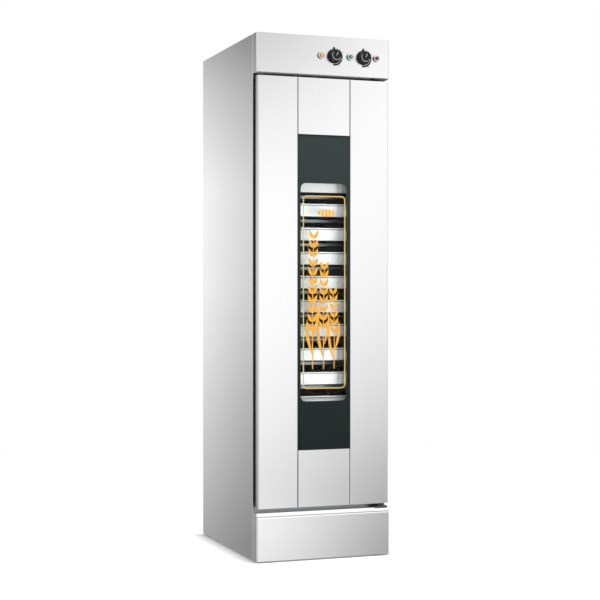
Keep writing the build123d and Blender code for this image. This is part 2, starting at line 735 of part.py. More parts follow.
def terminal_block():
    """Screw terminals on the left-hand wall of the control box."""
    thick, long, high = BLOCK_SIZE
    wall = -(CABINET_HALF - SKIN)
    middle = Plane((wall + thick / 2, FACE_Y + long, CONTROL_Z))
    with BuildPart() as block:
        with BuildSketch(middle):
            Rectangle(thick, long)
        extrude(amount=high)
        with BuildSketch(middle.offset(high)):
            with GridLocations(0, long / BLOCK_WAYS, 1, BLOCK_WAYS):
                Rectangle(*BLOCK_POCKET)
        extrude(amount=-high / 2, mode=Mode.SUBTRACT)
    return block


def cable_gland():
    """Gland in the rear panel: a hexagon outside, a nut inside and a bore for the cable."""
    place = (GLAND_X, HEADER_BOTTOM + GLAND_HEIGHT)
    with BuildPart() as gland:
        with BuildSketch(facing(REAR_Y + GLAND_PROUD)):
            with Locations(place):
                Circle(GLAND_THREAD_RADIUS)
        extrude(amount=GLAND_PROUD + SKIN + SKIN + 2 * GLAND_HEX)
        chamfer(gland.edges().group_by(Axis.Y)[-1], SKIN)
        for y in (REAR_PANEL_Y + GLAND_HEX, REAR_PANEL_Y - SKIN):
            with BuildSketch(facing(y)):
                with Locations(place):
                    RegularPolygon(GLAND_HEX_RADIUS, 6)
            extrude(amount=GLAND_HEX)
        with BuildSketch(facing(REAR_Y + GLAND_PROUD)):
            with Locations(place):
                Circle(GLAND_BORE_RADIUS)
        extrude(amount=GLAND_PROUD + 2 * SKIN + 3 * GLAND_HEX, mode=Mode.SUBTRACT)
    return gland


# ---------------------------------------------------------------- door

def door_skin(side):
    """Left or right face of the door: one sheet folded back at the seam and at the edge,
    where it ends in a ledge for the fingers."""
    seam = side * (STRIP_HALF + SEAM_WIDTH / 2 + SKIN / 2)
    edge = side * (DOOR_HALF - SKIN / 2)
    front = FRONT_Y + SKIN / 2
    ledge = FRONT_Y + DOOR_EDGE - SKIN / 2
    with BuildPart() as skin:
        with BuildSketch(Plane.XY.offset(DOOR_BOTTOM + END_CAP)):
            with BuildLine():
                FilletPolyline(
                    (seam, FRONT_Y + SEAM_RETURN),
                    (seam, front),
                    (edge, front),
                    (edge, ledge),
                    (side * LEDGE_HALF, ledge),
                    radius=[SHEET_BEND, CORNER_BEND, SHEET_BEND],
                )
            trace(line_width=SKIN)
        extrude(amount=DOOR_TOP - DOOR_BOTTOM - 2 * END_CAP)
    return skin


def door_centre_panels():
    """Steel panels of the centre strip, above and below the glass."""
    half = STRIP_HALF - SEAM_WIDTH / 2 - SKIN / 2
    length = STRIP_PANEL - END_CAP
    with BuildPart() as panels:
        for bottom in (DOOR_BOTTOM + END_CAP, GLASS_TOP):
            with BuildSketch(Plane.XY.offset(bottom)):
                with BuildLine():
                    FilletPolyline(
                        (-half, FRONT_Y + SEAM_RETURN),
                        (-half, FRONT_Y + SKIN / 2),
                        (half, FRONT_Y + SKIN / 2),
                        (half, FRONT_Y + SEAM_RETURN),
                        radius=SHEET_BEND,
                    )
                trace(line_width=SKIN)
            extrude(amount=length)
    return panels


def door_end_caps():
    """Plates that close the top and the bottom of the door, each with a hole for a pivot bush.
    The step in their outline is the back of the finger ledges."""
    ledge = FRONT_Y + DOOR_EDGE
    with BuildPart() as caps:
        for bottom in (DOOR_BOTTOM, DOOR_TOP - END_CAP):
            with BuildSketch(Plane.XY.offset(bottom)) as plate:
                with BuildLine():
                    Polyline(
                        (-DOOR_HALF, FRONT_Y),
                        (DOOR_HALF, FRONT_Y),
                        (DOOR_HALF, ledge),
                        (LEDGE_HALF, ledge),
                        (LEDGE_HALF, DOOR_BACK_Y),
                        (-LEDGE_HALF, DOOR_BACK_Y),
                        (-LEDGE_HALF, ledge),
                        (-DOOR_HALF, ledge),
                        close=True,
                    )
                make_face()
                fillet(plate.vertices().group_by(Axis.Y)[0], CORNER_BEND + SKIN / 2)
                with Locations((PIN_X, PIN_Y)):
                    Circle(BUSH_RADIUS + FIT, mode=Mode.SUBTRACT)
            extrude(amount=END_CAP)
    return caps


def pivot_bushes():
    """Nylon bushes in the door's corners that turn on the pins."""
    with BuildPart() as bushes:
        for bottom in (DOOR_BOTTOM, DOOR_TOP - BUSH_LENGTH):
            with BuildSketch(Plane.XY.offset(bottom)):
                with Locations((PIN_X, PIN_Y)):
                    Circle(BUSH_RADIUS)
                    Circle(PIN_RADIUS + PIN_CLEARANCE, mode=Mode.SUBTRACT)
            extrude(amount=BUSH_LENGTH)
    return bushes


def door_outer_glass():
    """Front pane of the centre strip."""
    half = STRIP_HALF - SEAM_WIDTH / 2 - GLASS_EDGE_GAP / 2
    with BuildPart() as pane:
        with BuildSketch(facing(FRONT_Y + GLASS_RECESS)):
            with Locations((0, (GLASS_BOTTOM + GLASS_TOP) / 2)):
                Rectangle(2 * half, GLASS_TOP - GLASS_BOTTOM - GLASS_EDGE_GAP)
        extrude(amount=-OUTER_GLASS)
        chamfer(pane.faces().sort_by(Axis.Y)[0].edges(), GLASS_RECESS / 2)
    return pane


def door_window_frame():
    """Moulded frame between the panes: a thin dark mask with a rounded clear opening at the front,
    and a wider spacer behind it."""
    middle = (GLASS_BOTTOM + GLASS_TOP) / 2
    height = GLASS_TOP - GLASS_BOTTOM
    width = STRIP_WIDTH - SEAM_WIDTH - GLASS_EDGE_GAP
    front = FRONT_Y + GLASS_RECESS + OUTER_GLASS
    spacer = FRONT_Y + SEAM_RETURN + FIT
    with BuildPart() as frame:
        with BuildSketch(facing(front)):
            with Locations((0, middle)):
                Rectangle(width, height - GLASS_EDGE_GAP)
                RectangleRounded(
                    STRIP_WIDTH - 2 * MASK_SIDE, height - 2 * MASK_END, MASK_CORNER,
                    mode=Mode.SUBTRACT,
                )
        extrude(amount=-MASK_THICKNESS)
        with BuildSketch(facing(spacer)):
            with Locations((0, middle)):
                Rectangle(STRIP_WIDTH + 2 * SPACER_WALL, height + 2 * SPACER_WALL)
                Rectangle(STRIP_WIDTH - SEAM_WIDTH * 2, height - 2 * MASK_END + 2 * MASK_SIDE,
                          mode=Mode.SUBTRACT)
        extrude(amount=-(front + SPACER_DEPTH - spacer))
    return frame


def door_inner_glass():
    """Rear pane, behind the spacer."""
    height = GLASS_TOP - GLASS_BOTTOM
    with BuildPart() as pane:
        with BuildSketch(facing(FRONT_Y + GLASS_RECESS + OUTER_GLASS + SPACER_DEPTH)):
            with Locations((0, (GLASS_BOTTOM + GLASS_TOP) / 2)):
                Rectangle(STRIP_WIDTH + SPACER_WALL, height - 2 * MASK_END + 4 * MASK_SIDE)
        extrude(amount=-INNER_GLASS)
    return pane


def door_liner():
    """Inner pan of the door, with a folded edge round the window."""
    middle = (GLASS_BOTTOM + GLASS_TOP) / 2
    window_width = STRIP_WIDTH - SEAM_WIDTH * 2
    window_height = GLASS_TOP - GLASS_BOTTOM - 2 * MASK_END + 2 * MASK_SIDE
    pane_back = FRONT_Y + GLASS_RECESS + OUTER_GLASS + SPACER_DEPTH + INNER_GLASS
    front = FRONT_Y + DOOR_EDGE
    with BuildPart() as liner:
        with BuildSketch(Plane.XY.offset(DOOR_BOTTOM + END_CAP)):
            with Locations((0, (front + DOOR_BACK_Y) / 2)):
                Rectangle(2 * LEDGE_HALF, DOOR_BACK_Y - front)
        extrude(amount=DOOR_TOP - DOOR_BOTTOM - 2 * END_CAP)
        offset(amount=-LINER, openings=liner.faces().sort_by(Axis.Y)[0])
        with BuildSketch(facing(DOOR_BACK_Y)):
            with Locations((0, middle)):
                Rectangle(window_width, window_height)
        extrude(amount=DOOR_THICKNESS, mode=Mode.SUBTRACT)
        with BuildSketch(facing(DOOR_BACK_Y)):
            with Locations((0, middle)):
                Rectangle(window_width + 2 * LINER, window_height + 2 * LINER)
                Rectangle(window_width, window_height, mode=Mode.SUBTRACT)
        extrude(amount=DOOR_BACK_Y - pane_back)
    return liner


def door_core():
    """Foam that fills the door round the window frame."""
    front = FRONT_Y + SEAM_RETURN + FIT
    back = FRONT_Y + DOOR_EDGE - SKIN - FIT
    inner = STRIP_HALF + SPACER_WALL + FIT
    outer = DOOR_HALF - SKIN - SHEET_BEND
    bottom, top = DOOR_BOTTOM + END_CAP + FIT, DOOR_TOP - END_CAP - FIT
    with BuildPart() as foam:
        with BuildSketch(facing(front)):
            with Locations((0, (bottom + top) / 2)):
                Rectangle(2 * outer, top - bottom)
            with Locations((0, (GLASS_BOTTOM + GLASS_TOP) / 2)):
                Rectangle(2 * inner, GLASS_TOP - GLASS_BOTTOM + 2 * (SPACER_WALL + FIT),
                          mode=Mode.SUBTRACT)
            for corner in (bottom, top):
                with Locations((PIN_X, corner)):
                    Rectangle(3 * BUSH_RADIUS, 2 * (BUSH_LENGTH + FIT), mode=Mode.SUBTRACT)
        extrude(amount=-(back - front))
    return foam


def door_gasket():
    """Soft seal on the door liner, round the mouth."""
    width = 2 * (MOUTH_HALF + GASKET_INSET)
    height = MOUTH_TOP - MOUTH_BOTTOM + 2 * GASKET_INSET
    with BuildPart() as seal:
        with BuildSketch(facing(DOOR_BACK_Y)):
            with Locations((0, (MOUTH_TOP + MOUTH_BOTTOM) / 2)):
                RectangleRounded(width + 2 * GASKET_WIDTH, height + 2 * GASKET_WIDTH, GASKET_CORNER)
                Rectangle(width, height, mode=Mode.SUBTRACT)
        extrude(amount=-(GASKET_GAP - BODY_GAP))
        chamfer(seal.faces().sort_by(Axis.Y)[-1].edges(), GASKET_BEVEL)
    return seal


# ---------------------------------------------------------------- pivots on the cabinet

def hinge_plates():
    """Angle brackets under the header and on the base's ledge, screwed to the face frame,
    each with its pin."""
    right = CABINET_HALF - DOOR_SIDE_GAP
    front = PIN_Y - BUSH_RADIUS
    middle = right - HINGE_PLATE_WIDTH / 2
    lower = LEDGE_TOP + FIT + HINGE_PLATE
    with BuildPart() as plates:
        for bottom, leg in (
            (HEADER_BOTTOM - HINGE_PLATE, HEADER_BOTTOM - FIT - HINGE_LEG / 2),
            (lower - HINGE_PLATE, LEDGE_TOP + FIT + HINGE_LEG / 2),
        ):
            with BuildSketch(Plane.XY.offset(bottom)) as plate:
                with Locations((middle, (front + FRAME_Y) / 2)):
                    Rectangle(HINGE_PLATE_WIDTH, FRAME_Y - front)
                fillet(plate.vertices().group_by(Axis.Y)[0], HINGE_PLATE_CORNER)
            extrude(amount=HINGE_PLATE)
            with BuildSketch(facing(FRAME_Y)):
                with Locations((middle, leg)):
                    Rectangle(HINGE_PLATE_WIDTH, HINGE_LEG)
            extrude(amount=SKIN)
        for low, high in (
            (DOOR_TOP - PIN_REACH, HEADER_BOTTOM - HINGE_PLATE),
            (lower, DOOR_BOTTOM + PIN_REACH),
        ):
            with BuildSketch(Plane.XY.offset(low)):
                with Locations((PIN_X, PIN_Y)):
                    Circle(PIN_RADIUS)
            extrude(amount=high - low)
    return plates


def hinge_washers():
    """Black nylon washers on the pins, between the brackets and the door."""
    with BuildPart() as washers:
        for low, high in (
            (DOOR_TOP + BODY_GAP, HEADER_BOTTOM - HINGE_PLATE),
            (LEDGE_TOP + FIT + HINGE_PLATE, DOOR_BOTTOM - BODY_GAP),
        ):
            with BuildSketch(Plane.XY.offset(low)):
                with Locations((PIN_X, PIN_Y)):
                    Circle(WASHER_RADIUS)
                    Circle(PIN_RADIUS + PIN_CLEARANCE, mode=Mode.SUBTRACT)
            extrude(amount=high - low)
    return washers


# ---------------------------------------------------------------- write every piece

PIECES = {
    "side_panel_left": side_panel(-1),
    "side_panel_right": side_panel(1),
    "top_panel": level_sheet(CABINET_TOP, -1),
    "rear_panel": rear_panel(),
    "base_pan": level_sheet(FOOT_HEIGHT, 1),
    "base_front": base_front(),
    "header_fascia": header_fascia(),
    "face_frame": face_frame(),
    "feet": feet(),
    "liner_sides": liner_sides(),
    "liner_rear": liner_rear(),
    "liner_ceiling": liner_level(CEILING_Z),
    "liner_floor": liner_level(FLOOR_Z - LINER),
    "insulation": insulation(),
    "rack_left": rack(-1),
    "rack_right": rack(1),
    "rack_rails": rack_rails(),
    "water_pan": water_pan(),
    "heaters": heaters(),
    "heater_cover": heater_cover(),
    "thermostats": thermostats(),
    "temperature_knob": knob(TEMPERATURE_KNOB_X),
    "temperature_shaft": knob_shaft(TEMPERATURE_KNOB_X),
    "humidity_knob": knob(HUMIDITY_KNOB_X),
    "humidity_shaft": knob_shaft(HUMIDITY_KNOB_X),
    "lamp_housings": lamp_housings(),
    "terminal_block": terminal_block(),
    "cable_gland": cable_gland(),
    "door_skin_left": door_skin(-1),
    "door_skin_right": door_skin(1),
    "door_centre_panels": door_centre_panels(),
    "door_end_caps": door_end_caps(),
    "door_outer_glass": door_outer_glass(),
    "door_window_frame": door_window_frame(),
    "door_inner_glass": door_inner_glass(),
    "door_liner": door_liner(),
    "door_core": door_core(),
    "door_gasket": door_gasket(),
    "pivot_bushes": pivot_bushes(),
    "hinge_plates": hinge_plates(),
    "hinge_washers": hinge_washers(),
}
for number, floor in enumerate(tray_levels(), start=1):
    PIECES[f"tray_{number:02d}"] = tray(floor)
for lamp, lamp_x in LAMP_X.items():
    PIECES[lamp] = lamp_lens(lamp_x)

for piece_name, piece in PIECES.items():
    save(piece, piece_name)
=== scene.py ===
import math

import bmesh
import bpy
from bpy.props import FloatProperty, FloatVectorProperty, IntProperty, PointerProperty
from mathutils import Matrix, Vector


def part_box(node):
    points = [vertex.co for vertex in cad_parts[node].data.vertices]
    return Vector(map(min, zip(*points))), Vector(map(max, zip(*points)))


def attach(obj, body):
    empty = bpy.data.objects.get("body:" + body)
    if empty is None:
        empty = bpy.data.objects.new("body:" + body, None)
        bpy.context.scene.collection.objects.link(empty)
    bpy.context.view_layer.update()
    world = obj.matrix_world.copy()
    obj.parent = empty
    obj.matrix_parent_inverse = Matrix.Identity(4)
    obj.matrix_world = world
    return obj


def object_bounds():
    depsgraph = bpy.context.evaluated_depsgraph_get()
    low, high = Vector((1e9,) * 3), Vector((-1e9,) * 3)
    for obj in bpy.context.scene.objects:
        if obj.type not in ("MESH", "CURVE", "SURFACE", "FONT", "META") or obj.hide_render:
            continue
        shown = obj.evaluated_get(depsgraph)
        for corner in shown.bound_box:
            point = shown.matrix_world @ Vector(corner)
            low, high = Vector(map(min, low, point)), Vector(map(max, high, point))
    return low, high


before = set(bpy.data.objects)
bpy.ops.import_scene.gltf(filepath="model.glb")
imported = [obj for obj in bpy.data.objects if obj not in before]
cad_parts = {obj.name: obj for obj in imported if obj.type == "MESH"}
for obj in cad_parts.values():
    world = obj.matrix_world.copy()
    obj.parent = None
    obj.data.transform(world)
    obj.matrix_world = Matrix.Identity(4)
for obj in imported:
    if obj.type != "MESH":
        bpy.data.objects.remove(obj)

bl_info = {
    "name": "Dough Proofer",
    "version": (1, 0, 0),
    "blender": (4, 5, 0),
    "location": "3D View > Sidebar > Proofer",
    "description": "Finishes, printing, screws and studio for a glazed dough proofer",
    "category": "Object",
}

CAD_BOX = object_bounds()
FRONT, FRONT_LOW = (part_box("header_fascia")[0][axis] for axis in (1, 2))
GLASS_LOW, GLASS_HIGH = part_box("door_outer_glass")
EDGE_BLUR = 0.0004  # metres over which one finish changes to the next
INK_DEPTH = 0.00015

DIALS = {"temperature": "temperature_dial", "humidity": "humidity_dial"}
LAMPS = ("amber", "green", "red")
TRAYS = [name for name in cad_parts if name.startswith("tray_")]
UPRIGHT_SHEETS = ("side_panel_left", "side_panel_right", "rear_panel", "door_centre_panels")
LEVEL_SHEETS = ("top_panel", "base_pan", "door_end_caps")
CHAMBER_SHEETS = ("liner_sides", "liner_rear", "liner_ceiling", "liner_floor", "rack_left", "rack_right")


# ---------- node helpers

def put(tree, kind, inputs=None, **settings):
    """Adds a node, sets its own settings, then fills its inputs with values or other nodes' outputs."""
    node = tree.nodes.new(kind)
    for name, value in settings.items():
        setattr(node, name, value)
    for name, value in (inputs or {}).items():
        if isinstance(value, bpy.types.NodeSocket):
            tree.links.new(value, node.inputs[name])
        else:
            node.inputs[name].default_value = value
    return node


def effect(tree, name, values, fill):
    """Puts a node group into a material, with that material's own values, and returns its outputs. The
    group is built once: fill(inner, inputs) returns a socket for each output."""
    group = bpy.data.node_groups.get(name)
    if not group:
        group = bpy.data.node_groups.new(name, "ShaderNodeTree")
        for title, value in values.items():
            kind = "NodeSocketFloat" if isinstance(value, float) else "NodeSocketVector"
            group.interface.new_socket(name=title, in_out="INPUT", socket_type=kind).default_value = value
        filled = fill(group, group.nodes.new("NodeGroupInput").outputs)
        for title in filled:
            group.interface.new_socket(name=title, in_out="OUTPUT", socket_type="NodeSocketFloat")
        sink = group.nodes.new("NodeGroupOutput")
        for title, socket in filled.items():
            group.links.new(socket, sink.inputs[title])
    return put(tree, "ShaderNodeGroup", values, node_tree=group).outputs


def spot_on(tree):
    """Output of the place on the object, in metres."""
    return put(tree, "ShaderNodeTexCoord").outputs["Object"]


def place_on(tree):
    """Outputs X, Y and Z of the place on the object, in metres."""
    return put(tree, "ShaderNodeSeparateXYZ", {0: spot_on(tree)}).outputs


def maths(tree, operation, first, second=0.0):
    """Output of a sum, product or other operation on one or two values."""
    return put(tree, "ShaderNodeMath", {0: first, 1: second}, operation=operation).outputs[0]


def ramp(tree, value, low, high, start=0.0, end=1.0):
    """Output that goes from start to end while value goes from low to high."""
    node = put(tree, "ShaderNodeMapRange", {"Value": value, "From Min": low, "From Max": high,
                                            "To Min": start, "To Max": end})
    return node.outputs["Result"]


def blend_colours(tree, factor, first, second):
    """Output colour between first and second. 0, 6, 7 and 2 are the sockets of a colour mix."""
    return put(tree, "ShaderNodeMix", {0: factor, 6: first, 7: second}, data_type="RGBA").outputs[2]


def sums(tree, *terms):
    """Output that adds up (value, weight) terms."""
    total = None
    for value, weight in terms:
        part = maths(tree, "MULTIPLY", value, weight)
        total = part if total is None else maths(tree, "ADD", total, part)
    return total


def outside(tree, value, low, high, blur):
    """Output that is 0 while value is between low and high, and 1 beyond them."""
    away = maths(tree, "ABSOLUTE", maths(tree, "SUBTRACT", value, (low + high) / 2))
    return ramp(tree, away, (high - low) / 2 - blur, (high - low) / 2)


def shaded(colour, factor):
    """A colour made lighter or darker, with full alpha."""
    return tuple(min(1.0, c * factor) for c in colour[:3]) + (1.0,)


# ---------- effects that several finishes use

def rolled_grain(tree, stretch):
    """Fine parallel scratches. stretch is scratches per metre along each axis, smallest along the grain."""
    def fill(inner, sockets):
        drawn = put(inner, "ShaderNodeVectorMath", {0: spot_on(inner), 1: sockets["Stretch"]},
                    operation="MULTIPLY")
        fine = put(inner, "ShaderNodeTexNoise", {"Vector": drawn.outputs[0], "Scale": 1.0, "Detail": 3.0,
                                                 "Roughness": 0.65})
        return {"Grain": fine.outputs["Fac"]}
    return effect(tree, "rolled_grain", {"Stretch": stretch}, fill)["Grain"]


def sheet_waves(tree, per_metre):
    """The slow waves of thin sheet metal, and patches of about the same size."""
    def fill(inner, sockets):
        spot, scale = spot_on(inner), sockets["Per Metre"]
        slow = put(inner, "ShaderNodeTexNoise", {"Vector": spot, "Scale": scale, "Detail": 0.0})
        patches = put(inner, "ShaderNodeTexNoise", {"Vector": spot, "Scale": scale, "Detail": 2.0, "W": 4.0},
                      noise_dimensions="4D")
        return {"Waves": slow.outputs["Fac"], "Patches": patches.outputs["Fac"]}
    return effect(tree, "sheet_waves", {"Per Metre": per_metre}, fill)


def handling_marks(tree, per_metre):
    """Faint smudges of hands and cloths."""
    def fill(inner, sockets):
        blur = put(inner, "ShaderNodeTexNoise", {"Vector": spot_on(inner), "Scale": sockets["Per Metre"],
                                                 "Detail": 4.0, "Distortion": 0.8})
        return {"Smudges": ramp(inner, blur.outputs["Fac"], 0.52, 0.72)}
    return effect(tree, "handling_marks", {"Per Metre": per_metre}, fill)["Smudges"]


def moulded_grain(tree, per_metre):
    """Fine pebbles of moulded plastic and rubber, with some dust in them."""
    def fill(inner, sockets):
        spot = spot_on(inner)
        pebbles = put(inner, "ShaderNodeTexVoronoi", {"Vector": spot, "Scale": sockets["Per Metre"]})
        dust = put(inner, "ShaderNodeTexNoise", {"Vector": spot, "Scale": 60.0, "Detail": 5.0})
        return {"Pebbles": pebbles.outputs["Distance"], "Dust": ramp(inner, dust.outputs["Fac"], 0.5, 0.8)}
    return effect(tree, "moulded_grain", {"Per Metre": per_metre}, fill)


# ---------- finishes
# shine is what grain and marks add to a roughness. Its mean, or about that, is first taken off.

def material(name):
    """A new material, its node tree and its shader."""
    made = bpy.data.materials.new(name)
    made.use_nodes = True
    return made, made.node_tree, made.node_tree.nodes["Principled BSDF"]


def connect(tree, shader, colour, roughness, height, depth):
    """Feeds a finish's colour, roughness and relief to its shader. depth is the relief's in metres."""
    tree.links.new(colour, shader.inputs["Base Color"])
    tree.links.new(roughness, shader.inputs["Roughness"])
    bump = put(tree, "ShaderNodeBump", {"Height": height, "Strength": 1.0, "Distance": depth})
    tree.links.new(bump.outputs["Normal"], shader.inputs["Normal"])


def brushed_sheet(name, tone, roughness, stretch, wave_depth, smudge=0.012, edges=None, edge_tone=0.8,
                  matt_below=None):
    """Stainless sheet: grain along one direction, slow waves and faint smudges. Its tone is multiplied
    by edge_tone beyond the two x of edges, and it is rougher below z = matt_below."""
    made, tree, shader = material(name)
    shader.inputs["Metallic"].default_value = 1.0
    grain = rolled_grain(tree, stretch)
    waves = sheet_waves(tree, 2.2)
    marks = handling_marks(tree, 14.0)
    mixed = sums(tree, (grain, 0.85), (waves["Patches"], 0.15))
    colour = blend_colours(tree, ramp(tree, mixed, 0.3, 0.7), shaded(tone, 0.96), shaded(tone, 1.04))
    if edges:
        # Painted shade or light: beyond edges the tone is scaled by edge_tone, darker below 1, lighter above
        # 1.
        painted_edge_mask = outside(tree, place_on(tree)["X"], *edges, EDGE_BLUR)
        colour = blend_colours(tree, painted_edge_mask, colour, shaded(tone, edge_tone))
    shine = sums(tree, (grain, 0.1), (marks, smudge), (waves["Patches"], 0.04))
    matt = maths(tree, "ADD", shine, roughness - 0.07)
    if matt_below:
        dull = 0.85
        matt = ramp(tree, place_on(tree)["Z"], matt_below, matt_below + EDGE_BLUR, dull, matt)
    height = sums(tree, (grain, 0.012), (waves["Waves"], 1.0))
    connect(tree, shader, colour, matt, height, wave_depth)
    return made


def tray_creases(tree, first, pitch, crease):
    """Mask of a painted shade line under each tray's rolled rim, at the height crease over the
    tray's foot. first is the lowest tray's foot, and trays repeat every pitch."""
    core, reach = 0.0008, 0.0026

    def fill(inner, sockets):
        raised = maths(inner, "SUBTRACT", place_on(inner)["Z"], first)
        away = maths(inner, "SUBTRACT", maths(inner, "MODULO", raised, pitch), crease)
        return {"Crease": ramp(inner, maths(inner, "ABSOLUTE", away), core, reach, 1.0, 0.0)}
    return effect(tree, "tray_creases", {}, fill)["Crease"]


def pressed_aluminium(name, tone, shade_inside, roughness):
    """Tray metal, partly dulled by oxide: cross-wise rubs, dull patches, a painted shade line under the rim,
    and painted shade behind the front wall."""
    made, tree, shader = material(name)
    shader.inputs["Metallic"].default_value = 0.55
    along = rolled_grain(tree, (30.0, 700.0, 700.0))
    patches = sheet_waves(tree, 9.0)["Patches"]
    marks = handling_marks(tree, 25.0)
    mixed = sums(tree, (along, 0.6), (patches, 0.4))
    clean = blend_colours(tree, ramp(tree, mixed, 0.3, 0.7), shaded(tone, 0.93), shaded(tone, 1.06))
    straw = (0.78, 0.66, 0.5)
    used = blend_colours(tree, sums(tree, (marks, 0.1)), clean, shaded(straw, 1.0))
    rim, front_wall = 0.0055, 0.009
    (low, high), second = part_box("tray_01"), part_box("tray_02")[0].z
    crease = tray_creases(tree, low.z, second - low.z, high.z - low.z - rim)
    # Painted shade: a dark line under each tray's rim.
    shade_lined = blend_colours(tree, sums(tree, (crease, 0.75)), used, shaded(tone, 0.12))
    wall = low.y + front_wall
    # Painted shade: behind the front wall the trays take a dark tone for the shade in the chamber.
    inside = ramp(tree, place_on(tree)["Y"], wall, wall + 0.003)
    painted_inside_shade = blend_colours(tree, mixed, shaded(shade_inside, 0.7), shaded(shade_inside, 1.3))
    colour = blend_colours(tree, inside, shade_lined, painted_inside_shade)
    shine = sums(tree, (along, 0.12), (patches, 0.12), (marks, 0.06))
    matt = maths(tree, "ADD", shine, roughness - 0.1)
    connect(tree, shader, colour, matt, sums(tree, (along, 0.15), (patches, 1.0)), 0.0003)
    return made


def moulded(name, tone, roughness, pebble_depth, dust_tone, dust=0.15, per_metre=1800.0, gloss=0.5):
    """Moulded plastic or rubber with fine pebbles and a little dust."""
    made, tree, shader = material(name)
    shader.inputs["Specular IOR Level"].default_value = gloss
    grain = moulded_grain(tree, per_metre)
    colour = blend_colours(tree, sums(tree, (grain["Dust"], dust)), shaded(tone, 1.0), shaded(dust_tone, 1.0))
    shine = sums(tree, (grain["Pebbles"], 0.1), (grain["Dust"], 0.12))
    matt = maths(tree, "ADD", shine, roughness - 0.05)
    connect(tree, shader, colour, matt, grain["Pebbles"], pebble_depth)
    return made


def rubbed_plating(tree, tone):
    """Hairline rubs on bright plating, and their colour."""
    rubs = rolled_grain(tree, (500.0, 500.0, 500.0))
    return rubs, blend_colours(tree, rubs, shaded(tone, 0.92), shaded(tone, 1.05))


def plated(name, tone, roughness):
    """Bright plating with hairline rubs."""
    made, tree, shader = material(name)
    shader.inputs["Metallic"].default_value = 1.0
    rubs, colour = rubbed_plating(tree, tone)
    connect(tree, shader, colour, maths(tree, "ADD", sums(tree, (rubs, 0.1)), roughness), rubs, 0.00002)
    return made


def lamp_body(name, plating, sleeve, seam):
    """Pilot lamp body: plated in front of y = seam, black plastic behind it."""
    made, tree, shader = material(name)
    behind = ramp(tree, place_on(tree)["Y"], seam, seam + 0.0002)
    rubs, bright = rubbed_plating(tree, plating)
    tree.links.new(ramp(tree, behind, 0.0, 1.0, 1.0, 0.0), shader.inputs["Metallic"])
    colour = blend_colours(tree, behind, bright, shaded(sleeve, 1.0))
    matt = maths(tree, "ADD", sums(tree, (rubs, 0.1), (behind, 0.3)), 0.12)
    connect(tree, shader, colour, matt, rubs, 0.00002)
    return made


def foam(name, tone):
    """Rigid foam: open cells under a skin."""
    made, tree, shader = material(name)
    grain = moulded_grain(tree, 420.0)
    colour = blend_colours(tree, grain["Pebbles"], shaded(tone, 0.85), shaded(tone, 1.08))
    matt = ramp(tree, grain["Dust"], 0.0, 1.0, 0.85, 0.95)
    connect(tree, shader, colour, matt, grain["Pebbles"], 0.0008)
    return made


def ink(name, tone, roughness, worn):
    """Screen-printed ink: slightly uneven cover."""
    made, tree, shader = material(name)
    patches = sheet_waves(tree, 60.0)["Patches"]
    specks = moulded_grain(tree, 900.0)
    mixed = sums(tree, (patches, 0.6), (specks["Pebbles"], 0.4))
    thin, thick = shaded(tone, 1.0 - worn), shaded(tone, 1.0 + worn)
    colour = blend_colours(tree, ramp(tree, mixed, 0.25, 0.7), thin, thick)
    matt = ramp(tree, specks["Dust"], 0.0, 1.0, roughness, roughness + 0.15)
    connect(tree, shader, colour, matt, mixed, 0.00004)
    return made


def pane(name, tone, roughness):
    """Toughened glass with an anti-glare coat and a little haze from wiping."""
    made, tree, shader = material(name)
    shader.inputs["Transmission Weight"].default_value = 1.0
    shader.inputs["IOR"].default_value = 1.12
    marks = handling_marks(tree, 9.0)
    waves = sheet_waves(tree, 3.0)["Waves"]
    colour = blend_colours(tree, marks, shaded(tone, 1.0), shaded(tone, 0.97))
    connect(tree, shader, colour, ramp(tree, marks, 0.0, 1.0, roughness, roughness + 0.03), waves, 0.00003)
    return made


def mask_finish(name, low_tone, high_tone, spacer, low, high):
    """Back-painted glass edge: dark green-grey at the top, darker towards the foot as painted shade, with a
    plain spacer behind the paint. low and high are the corners of the glass in front."""
    made, tree, shader = material(name)
    shader.inputs["Coat Weight"].default_value = 0.3
    place = place_on(tree)
    # Painted shade: the paint darkens from top to foot.
    height = ramp(tree, place["Z"], low.z, high.z)
    paint = blend_colours(tree, height, shaded(low_tone, 1.0), shaded(high_tone, 1.0))
    patches = sheet_waves(tree, 14.0)["Patches"]
    uneven = blend_colours(tree, sums(tree, (patches, 0.15)), paint, shaded(high_tone, 1.3))
    paint_end = high.y + 0.0026
    behind = ramp(tree, place["Y"], paint_end, paint_end + EDGE_BLUR)
    colour = blend_colours(tree, behind, uneven, shaded(spacer, 1.0))
    connect(tree, shader, colour, ramp(tree, patches, 0.3, 0.7, 0.35, 0.45), patches, 0.00005)
    return made


def heated_tube(name, tone):
    """Element sheath: straw and blue heat tints in soft rings along the tube."""
    made, tree, shader = material(name)
    shader.inputs["Metallic"].default_value = 1.0
    patches = sheet_waves(tree, 18.0)["Patches"]
    scale = moulded_grain(tree, 700.0)
    straw_tint, blue_tint = (0.42, 0.31, 0.19, 1.0), (0.2, 0.22, 0.32, 1.0)
    straw = blend_colours(tree, ramp(tree, patches, 0.35, 0.55), shaded(tone, 0.8), straw_tint)
    colour = blend_colours(tree, ramp(tree, patches, 0.55, 0.75), straw, blue_tint)
    connect(tree, shader, colour, ramp(tree, scale["Dust"], 0.0, 1.0, 0.38, 0.55), scale["Pebbles"], 0.00008)
    return made


